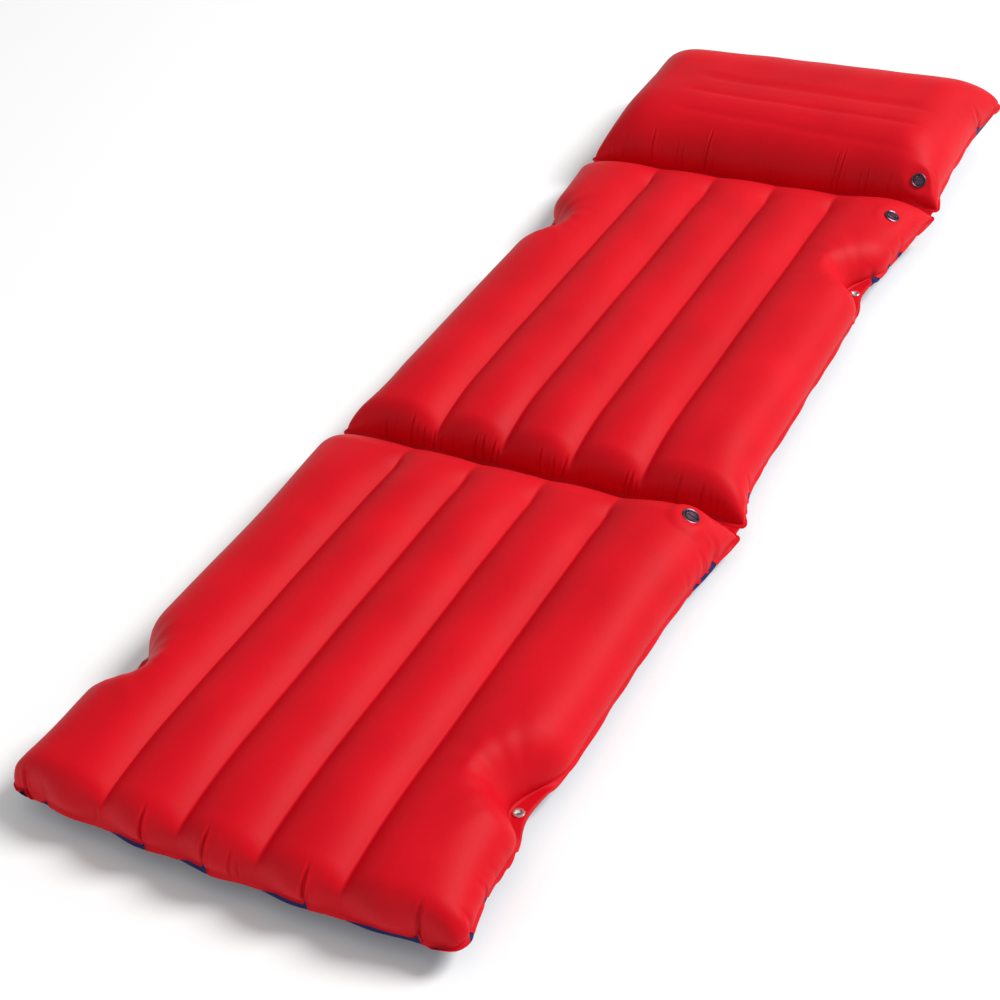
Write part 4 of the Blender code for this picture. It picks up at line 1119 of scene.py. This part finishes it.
def cloth_material(name, colour, weave_pitch, roughness, crease_shade_gain):
    """Coated cotton: a fine plain weave under a thin satin coat, a little uneven in colour, with
    painted shade darkening its creases.
    """
    paint = Paint(name)
    flat = paint.node('ShaderNodeUVMap', uv_map="cloth").outputs["UV"]
    thread = {"Vector": flat, "Scale": math.pi / 10 / weave_pitch, "Distortion": 0.6, "Detail": 0.5}
    threads = [paint.node('ShaderNodeTexWave', thread, wave_type='BANDS', bands_direction=axis)
               for axis in ('X', 'Y')]
    weave = paint.math('MULTIPLY', *(wave.outputs["Fac"] for wave in threads))
    clouds = paint.noise(scale=9, detail=4)
    light = tuple(min(channel * 1.05 + 0.001, 1) for channel in colour)
    tones = paint.tones(clouds, (0.30, scaled(colour, 0.90)), (0.72, light))
    grained = paint.mix('MULTIPLY', 0.10, tones, paint.noise(scale=420, detail=2))
    # Painted shade: the crease share darkens the cloth's colour in its pleats and pinches.
    crease = paint.node('ShaderNodeAttribute', attribute_name="crease")
    crease_shade = paint.math('MULTIPLY', crease.outputs["Fac"], crease_shade_gain)
    fine = paint.bump(weave, strength=0.22, distance=0.00006)
    rumple = paint.noise(scale=46, detail=3)
    return paint.finish({
        "Specular IOR Level": 0.12,
        "Base Color": paint.mix('MIX', crease_shade, grained, (*scaled(colour, 0.6), 1)),
        "Roughness": paint.between(clouds, roughness - 0.05, roughness + 0.07),
        "Normal": paint.bump(rumple, strength=0.5, distance=0.0004, Normal=fine)})


def metal_material(name, colour, roughness, tarnish):
    """Nickel plate with fine handling marks and a little tarnish."""
    paint = Paint(name)
    stains = paint.noise(scale=160, detail=5)
    marks = paint.noise(scale=900, detail=2)
    return paint.finish({
        "Metallic": 1,
        "Base Color": paint.tones(stains, (0.35, scaled(colour, tarnish)), (0.62, colour)),
        "Roughness": paint.between(marks, roughness - 0.08, roughness + 0.12),
        "Normal": paint.bump(marks, strength=0.25, distance=0.00004)})


def rubber_material(name, colour):
    """Matt rubber with a dusty bloom."""
    paint = Paint(name)
    bloom = paint.noise(scale=300, detail=4)
    return paint.finish({
        "Roughness": 0.75,
        "Base Color": paint.tones(bloom, (0, colour), (1, scaled(colour, 2.5)))})


def finishes():
    """The finishes by slot, made once."""
    colours = bpy.context.scene.mattress_colours
    makers = {
        # The last value is how strongly painted shade darkens each cloth's creases.
        "red_cloth": (cloth_material, colours.red, 0.0006, 0.52, 0.14),
        "navy_cloth": (cloth_material, colours.navy, 0.0006, 0.55, 0.10),
        "web_cloth": (cloth_material, colours.web, 0.0008, 0.80, 0.0),
        # Painted reflection: the valves' dark purple metal stands in for the red cloth that it
        # reflects.
        "dark_nickel": (metal_material, colours.valve, 0.26, 0.55),
        "bright_nickel": (metal_material, colours.eyelet, 0.22, 0.80),
        "valve_rubber": (rubber_material, colours.rubber),
    }
    made = {}
    for slot, (maker, *values) in makers.items():
        name = "finish_" + slot
        made[slot] = bpy.data.materials.get(name) or maker(name, *values)
    return made


def casings():
    scene = bpy.context.scene
    return [Casing(sizes, scene.mattress_casing) for sizes in scene.mattress_sections]


def turned_to(normal, point):
    """The place of a piece that stands on a point along a direction."""
    turn = Vector((0, 0, 1)).rotation_difference(normal).to_matrix().to_4x4()
    return Matrix.Translation(point) @ turn


def cutter(radius, reach, point, normal):
    """A round cutter along a direction, for the holes of the valves and eyelets."""
    mesh = bpy.data.meshes.new("cutter")
    shape = bmesh.new()
    bmesh.ops.create_cone(shape, cap_ends=True, segments=48, radius1=radius, radius2=radius,
                          depth=2 * reach)
    bmesh.ops.transform(shape, matrix=turned_to(normal, point), verts=shape.verts)
    shape.to_mesh(mesh)
    shape.free()
    return new_piece("cutter", mesh)


def eyelet_places(casing):
    """Middle and direction of each eyelet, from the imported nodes."""
    if not casing.sizes.eyelet_y:
        return []
    places = []
    tilt = math.atan2(casing.sizes.end_seam - casing.sizes.start_seam, casing.end - casing.start)
    for side in SIDES:
        low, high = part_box(f"{casing.name}_eyelet_{side}")
        normal = Vector((0, -math.sin(tilt), math.cos(tilt)))
        places.append(((low + high) / 2, normal))
    return places


def paint_node(node, material):
    """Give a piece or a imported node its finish."""
    node.data.materials.clear()
    node.data.materials.append(material)


def finish_sheet(piece, casing, is_top, material):
    """Give a sheet its wall and its holes, and set its finish."""
    cutters = [cutter(EYELET_HOLE, EYELET_CUT, *place) for place in eyelet_places(casing)]
    if is_top:
        cutters.append(cutter(VALVE_HOLE, VALVE_CUT, casing.valve_point, casing.valve_normal))
    add_wall(piece, casing.common.cloth, -1)
    for hole in cutters:
        cut = piece.modifiers.new("Hole", 'BOOLEAN')
        cut.object = hole
        cut.solver = 'EXACT'
    apply_modifiers(piece)
    for hole in cutters:
        bpy.data.objects.remove(hole)
    paint_node(piece, material)
    piece.data.shade_smooth()


class MATTRESS_OT_casings(bpy.types.Operator):
    """Make the welded top and bottom casing sheets of the three air sections"""
    bl_idname = "mattress.casings"
    bl_label = "Casings"

    def execute(self, context):
        paints = finishes()
        common = context.scene.mattress_casing
        for casing in casings():
            for is_top, word, slot, step in (
                    (True, "top", "red_cloth", common.top_step),
                    (False, "bottom", "navy_cloth", common.under_step)):
                name = f"{casing.name}_{word}_casing"
                points, crease = casing_points(casing, is_top, step, paints[slot])
                mesh = grid_mesh(name, points, not is_top)
                set_attribute(mesh, "crease", crease)
                set_cloth_map(mesh, points)
                piece = new_piece(name, mesh)
                finish_sheet(piece, casing, is_top, paints[slot])
                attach(piece, casing.name)
                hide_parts(f"{casing.name}_{word}_sheet")
        return {'FINISHED'}


def web_grid(casing, index):
    """Points of one web, from its foot to its top, as rows of points along it."""
    common = casing.common
    clear = WEB_GAP_GAIN * (common.cloth + 2 * common.gap + WEB_CLEARANCE)
    if casing.is_pillow:
        along = np.linspace(-common.crease_half, common.crease_half, CREASE_POINTS)
        x = along
        y = np.full_like(along, casing.start + common.crease_centre
                         + common.crease_pitch * (index - (CREASE_COUNT + 1) / 2))
        lean = np.zeros_like(along)
    else:
        along = np.linspace(casing.start + WEB_INSET, casing.end - WEB_INSET, WEB_POINTS)
        x = np.full_like(along, (index - (WEB_COUNT + 1) / 2) * common.pitch)
        y = along
        lean = WEB_WAVE * np.sin(42 * along + index)
    top = casing.top(x, y) - clear
    foot = casing.bottom(x, y) + clear
    rows = []
    for up in np.linspace(0, 1, WEB_ROWS):
        bulge = math.sin(math.pi * up)
        rows.append(np.stack([x + lean * bulge, y, foot + (top - foot) * up], axis=-1))
    return np.array(rows)


class MATTRESS_OT_webs(bpy.types.Operator):
    """Make the cloth webs that tie each section's sheets together inside"""
    bl_idname = "mattress.webs"
    bl_label = "Webs"

    def execute(self, context):
        paints = finishes()
        trim = context.scene.mattress_trim
        for casing in casings():
            for index in range(1, 1 + (CREASE_COUNT if casing.is_pillow else WEB_COUNT)):
                name = f"{casing.name}_inner_web_{index}"
                points = web_grid(casing, index)
                mesh = grid_mesh(name, points, False)
                set_attribute(mesh, "crease", np.zeros(points.shape[:2]))
                set_cloth_map(mesh, points)
                mesh.materials.append(paints["web_cloth"])
                web = new_piece(name, mesh)
                add_wall(web, trim.web_thickness, 0)
                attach(web, casing.name)
                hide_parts(f"{casing.name}_web_{index}")
        return {'FINISHED'}


def band_tree(material):
    """A cloth band along a straight line, with uneven gathers."""
    tree = Tree("Fold band", Int=("Rows",),
                Float=("Half length", "Width", "Waves", "Wave height", "Seed"))
    width = tree.inputs["Width"]
    length = tree.math('MULTIPLY', tree.inputs["Half length"], 2.0)
    strip = tree.node('GeometryNodeMeshGrid', {
        "Size X": length, "Size Y": width,
        "Vertices X": tree.inputs["Rows"], "Vertices Y": BAND_COLUMNS})
    place = tree.position()
    seeded = tree.vector(place["X"], tree.inputs["Seed"], 0.0)
    noise = tree.node('ShaderNodeTexNoise', {"Vector": seeded, "Scale": GATHER_NOISE},
                      noise_dimensions='2D')
    turn = tree.math('MULTIPLY', place["X"], tree.inputs["Waves"])
    turn = tree.math('ADD', turn, tree.math('MULTIPLY', noise.outputs["Fac"], GATHER_SHIFT))
    wave = tree.math('MULTIPLY', tree.math('SINE', turn), tree.inputs["Wave height"])
    share = tree.math('DIVIDE', tree.math('ABSOLUTE', place["Y"]), width)
    ease = tree.math('SUBTRACT', 1.0, tree.math('MULTIPLY', share, 2.0))
    lift = tree.math('MULTIPLY', wave, tree.math('POWER', ease, GATHER_EASE))
    return tree.finish(tree.lifted(strip.outputs["Mesh"], lift), material)


class MATTRESS_OT_bands(bpy.types.Operator):
    """Make the two cloth bands that join the sections at the folds"""
    bl_idname = "mattress.bands"
    bl_label = "Fold bands"

    def execute(self, context):
        trim = context.scene.mattress_trim
        paint = finishes()["red_cloth"]
        for number, (node, lower, upper) in enumerate((("back_fold_band", "legs", "back"),
                                                       ("pillow_fold_band", "back", "pillow"))):
            low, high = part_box(node)
            middle = (low + high) / 2
            name = node.replace("_band", "_strip")
            length = high.x - low.x + 2 * trim.band_overhang
            mesh = tree_mesh(name, band_tree(paint), {
                "Half length": length / 2, "Width": trim.band_width,
                "Waves": math.pi * trim.band_waves / length, "Wave height": BAND_WAVE,
                "Rows": BAND_ROWS, "Seed": float(trim.seed + number)},
                Matrix.Translation(middle))
            write_cloth_map(mesh, get_points(mesh, (-1, 3))[:, :2])
            set_attribute(mesh, "crease", np.zeros(len(mesh.vertices)))
            band = new_piece(name, mesh)
            add_wall(band, trim.band_thickness, 0)
            apply_modifiers(band)
            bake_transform(band)
            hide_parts(node)
        return {'FINISHED'}


def grip_tree(material):
    """A ring of short ridges, such as the finger grip of a screw plug."""
    tree = Tree("Finger grip", Int=("Count",), Float=("Radius", "Length", "Width", "Height"))
    count = tree.inputs["Count"]
    ring = tree.node('GeometryNodeMeshCircle', {"Vertices": count, "Radius": tree.inputs["Radius"]})
    ridge = tree.node('GeometryNodeMeshUVSphere', {"Segments": 8, "Rings": 5, "Radius": 1.0})
    number = tree.node('GeometryNodeInputIndex').outputs[0]
    turn = tree.math('DIVIDE', tree.math('MULTIPLY', number, math.tau), count)
    halves = [tree.math('DIVIDE', tree.inputs[label], 2.0) for label in ("Length", "Width")]
    place = tree.node('GeometryNodeInstanceOnPoints', {
        "Points": ring.outputs["Mesh"], "Instance": ridge.outputs["Mesh"],
        "Rotation": tree.vector(0.0, 0.0, turn),
        "Scale": tree.vector(*halves, tree.inputs["Height"])})
    return tree.finish(place.outputs["Instances"], material)


VALVE_FINISHES = {"seat": "dark_nickel", "plug": "dark_nickel", "clamp_ring": "dark_nickel",
                  "seal": "valve_rubber", "patch": "valve_rubber"}


class MATTRESS_OT_valves(bpy.types.Operator):
    """Finish the three screw valves and put the finger grips on their plugs"""
    bl_idname = "mattress.valves"
    bl_label = "Valves"

    def execute(self, context):
        paints = finishes()
        trim = context.scene.mattress_trim
        for casing in casings():
            for part, slot in VALVE_FINISHES.items():
                paint_node(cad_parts[f"{casing.name}_valve_{part}"], paints[slot])
            points = node_points(casing.name + "_valve_plug")
            normal, point = casing.valve_normal, casing.valve_point
            top = float(((points - np.array(point)) @ np.array(normal)).max())
            name = casing.name + "_valve_grip"
            mesh = tree_mesh(name, grip_tree(paints["dark_nickel"]), {
                "Count": trim.grip_count, "Radius": trim.grip_radius,
                "Length": trim.grip_length, "Width": GRIP_WIDTH, "Height": trim.grip_height},
                turned_to(normal, point + normal * (top - GRIP_SINK)))
            grip = new_piece(name, mesh)
            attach(grip, casing.name + "_valve_plug")
        return {'FINISHED'}


class MATTRESS_OT_eyelets(bpy.types.Operator):
    """Finish the four eyelets and their washers in bright nickel"""
    bl_idname = "mattress.eyelets"
    bl_label = "Eyelets"

    def execute(self, context):
        paint = finishes()["bright_nickel"]
        for name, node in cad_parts.items():
            if "_eyelet_" in name:
                paint_node(node, paint)
        return {'FINISHED'}


def camera_matrix(azimuth, elevation, roll, eye):
    """Where the camera stands and how it is turned."""
    back = Vector((math.sin(azimuth) * math.cos(elevation),
                   -math.cos(azimuth) * math.cos(elevation), math.sin(elevation)))
    right = (-back).cross(Vector((0, 0, 1))).normalized()
    up = right.cross(-back)
    turned_right = math.cos(roll) * right + math.sin(roll) * up
    turned_up = -math.sin(roll) * right + math.cos(roll) * up
    turn = Matrix((turned_right, turned_up, back)).transposed().to_4x4()
    return Matrix.Translation(eye) @ turn


class MATTRESS_OT_studio(bpy.types.Operator):
    """Set up the floor, the lamps, the background and the camera"""
    bl_idname = "mattress.studio"
    bl_label = "Studio"

    def execute(self, context):
        scene = context.scene
        colours = scene.mattress_colours
        self.add_floor(colours)
        self.add_world(scene)
        for name, (place, power) in LAMPS.items():
            self.add_lamp(name, place, power)
        self.add_camera(scene)
        scene.view_settings.view_transform = 'Standard'
        return {'FINISHED'}

    def add_floor(self, colours):
        mesh = bpy.data.meshes.new("floor")
        shape = bmesh.new()
        bmesh.ops.create_grid(shape, x_segments=1, y_segments=1, size=FLOOR_HALF)
        shape.to_mesh(mesh)
        shape.free()
        material = bpy.data.materials.new("studio_floor")
        material.use_nodes = True
        shader = material.node_tree.nodes["Principled BSDF"]
        shader.inputs["Base Color"].default_value = (*colours.floor, 1)
        shader.inputs["Roughness"].default_value = 0.9
        shader.inputs["Specular IOR Level"].default_value = 0.0
        mesh.materials.append(material)
        floor = new_piece("floor", mesh)

    def add_world(self, scene):
        world = bpy.data.worlds.new("studio")
        scene.world = world
        world.use_nodes = True
        sky = world.node_tree.nodes["Background"]
        sky.inputs["Color"].default_value = (1, 1, 1, 1)
        sky.inputs["Strength"].default_value = SKY_STRENGTH

    def add_lamp(self, name, place, power):
        """A round soft lamp that is aimed at the origin"""
        light = bpy.data.lights.new(name, 'AREA')
        light.shape = 'DISK'
        light.size = LAMP_SIZE
        light.energy = power
        lamp = new_piece(name, light)
        aim = -Vector(place)
        lamp.matrix_world = (Matrix.Translation(place)
                             @ aim.to_track_quat('-Z', 'Y').to_matrix().to_4x4())

    def add_camera(self, scene):
        lens = bpy.data.cameras.new("camera")
        lens.sensor_fit = 'HORIZONTAL'
        lens.sensor_width = 36
        lens.lens = FOCAL_LENGTH
        camera = new_piece("camera", lens)
        camera.matrix_world = camera_matrix(CAMERA_AZIMUTH, CAMERA_ELEVATION, CAMERA_ROLL,
                                            Vector(CAMERA_PLACE))
        scene.camera = camera


class MATTRESS_PT_panel(bpy.types.Panel):
    """Lists the steps that build the mattress"""
    bl_idname = "MATTRESS_PT_panel"
    bl_label = "Lounge mattress"
    bl_space_type = 'VIEW_3D'
    bl_region_type = 'UI'
    bl_category = "Mattress"

    def draw(self, context):
        layout = self.layout
        for operator in STEPS:
            layout.operator(operator.bl_idname)
        for settings in (context.scene.mattress_casing, context.scene.mattress_trim,
                         context.scene.mattress_colours):
            box = layout.box()
            for name in settings.__annotations__:
                box.prop(settings, name)


GROUPS = (SectionSizes, CasingSizes, TrimSizes, Colours)
STEPS = (MATTRESS_OT_casings, MATTRESS_OT_webs, MATTRESS_OT_bands, MATTRESS_OT_valves,
         MATTRESS_OT_eyelets, MATTRESS_OT_studio)


def register():
    for group in GROUPS:
        bpy.utils.register_class(group)
    for step in STEPS:
        bpy.utils.register_class(step)
    bpy.utils.register_class(MATTRESS_PT_panel)
    bpy.types.Scene.mattress_sections = CollectionProperty(type=SectionSizes)
    bpy.types.Scene.mattress_casing = PointerProperty(type=CasingSizes)
    bpy.types.Scene.mattress_trim = PointerProperty(type=TrimSizes)
    bpy.types.Scene.mattress_colours = PointerProperty(type=Colours)


def unregister():
    del bpy.types.Scene.mattress_sections
    del bpy.types.Scene.mattress_casing
    del bpy.types.Scene.mattress_trim
    del bpy.types.Scene.mattress_colours
    bpy.utils.unregister_class(MATTRESS_PT_panel)
    for step in reversed(STEPS):
        bpy.utils.unregister_class(step)
    for group in reversed(GROUPS):
        bpy.utils.unregister_class(group)


def main():
    register()
    scene = bpy.context.scene
    for name in SECTIONS:
        sizes = scene.mattress_sections.add()
        sizes.name = name
        for key, value in SECTION_VALUES[name].items():
            setattr(sizes, key, value)
    bpy.ops.mattress.casings()
    bpy.ops.mattress.webs()
    bpy.ops.mattress.bands()
    bpy.ops.mattress.valves()
    bpy.ops.mattress.eyelets()
    bpy.ops.mattress.studio()


if __name__ == "__main__":
    main()
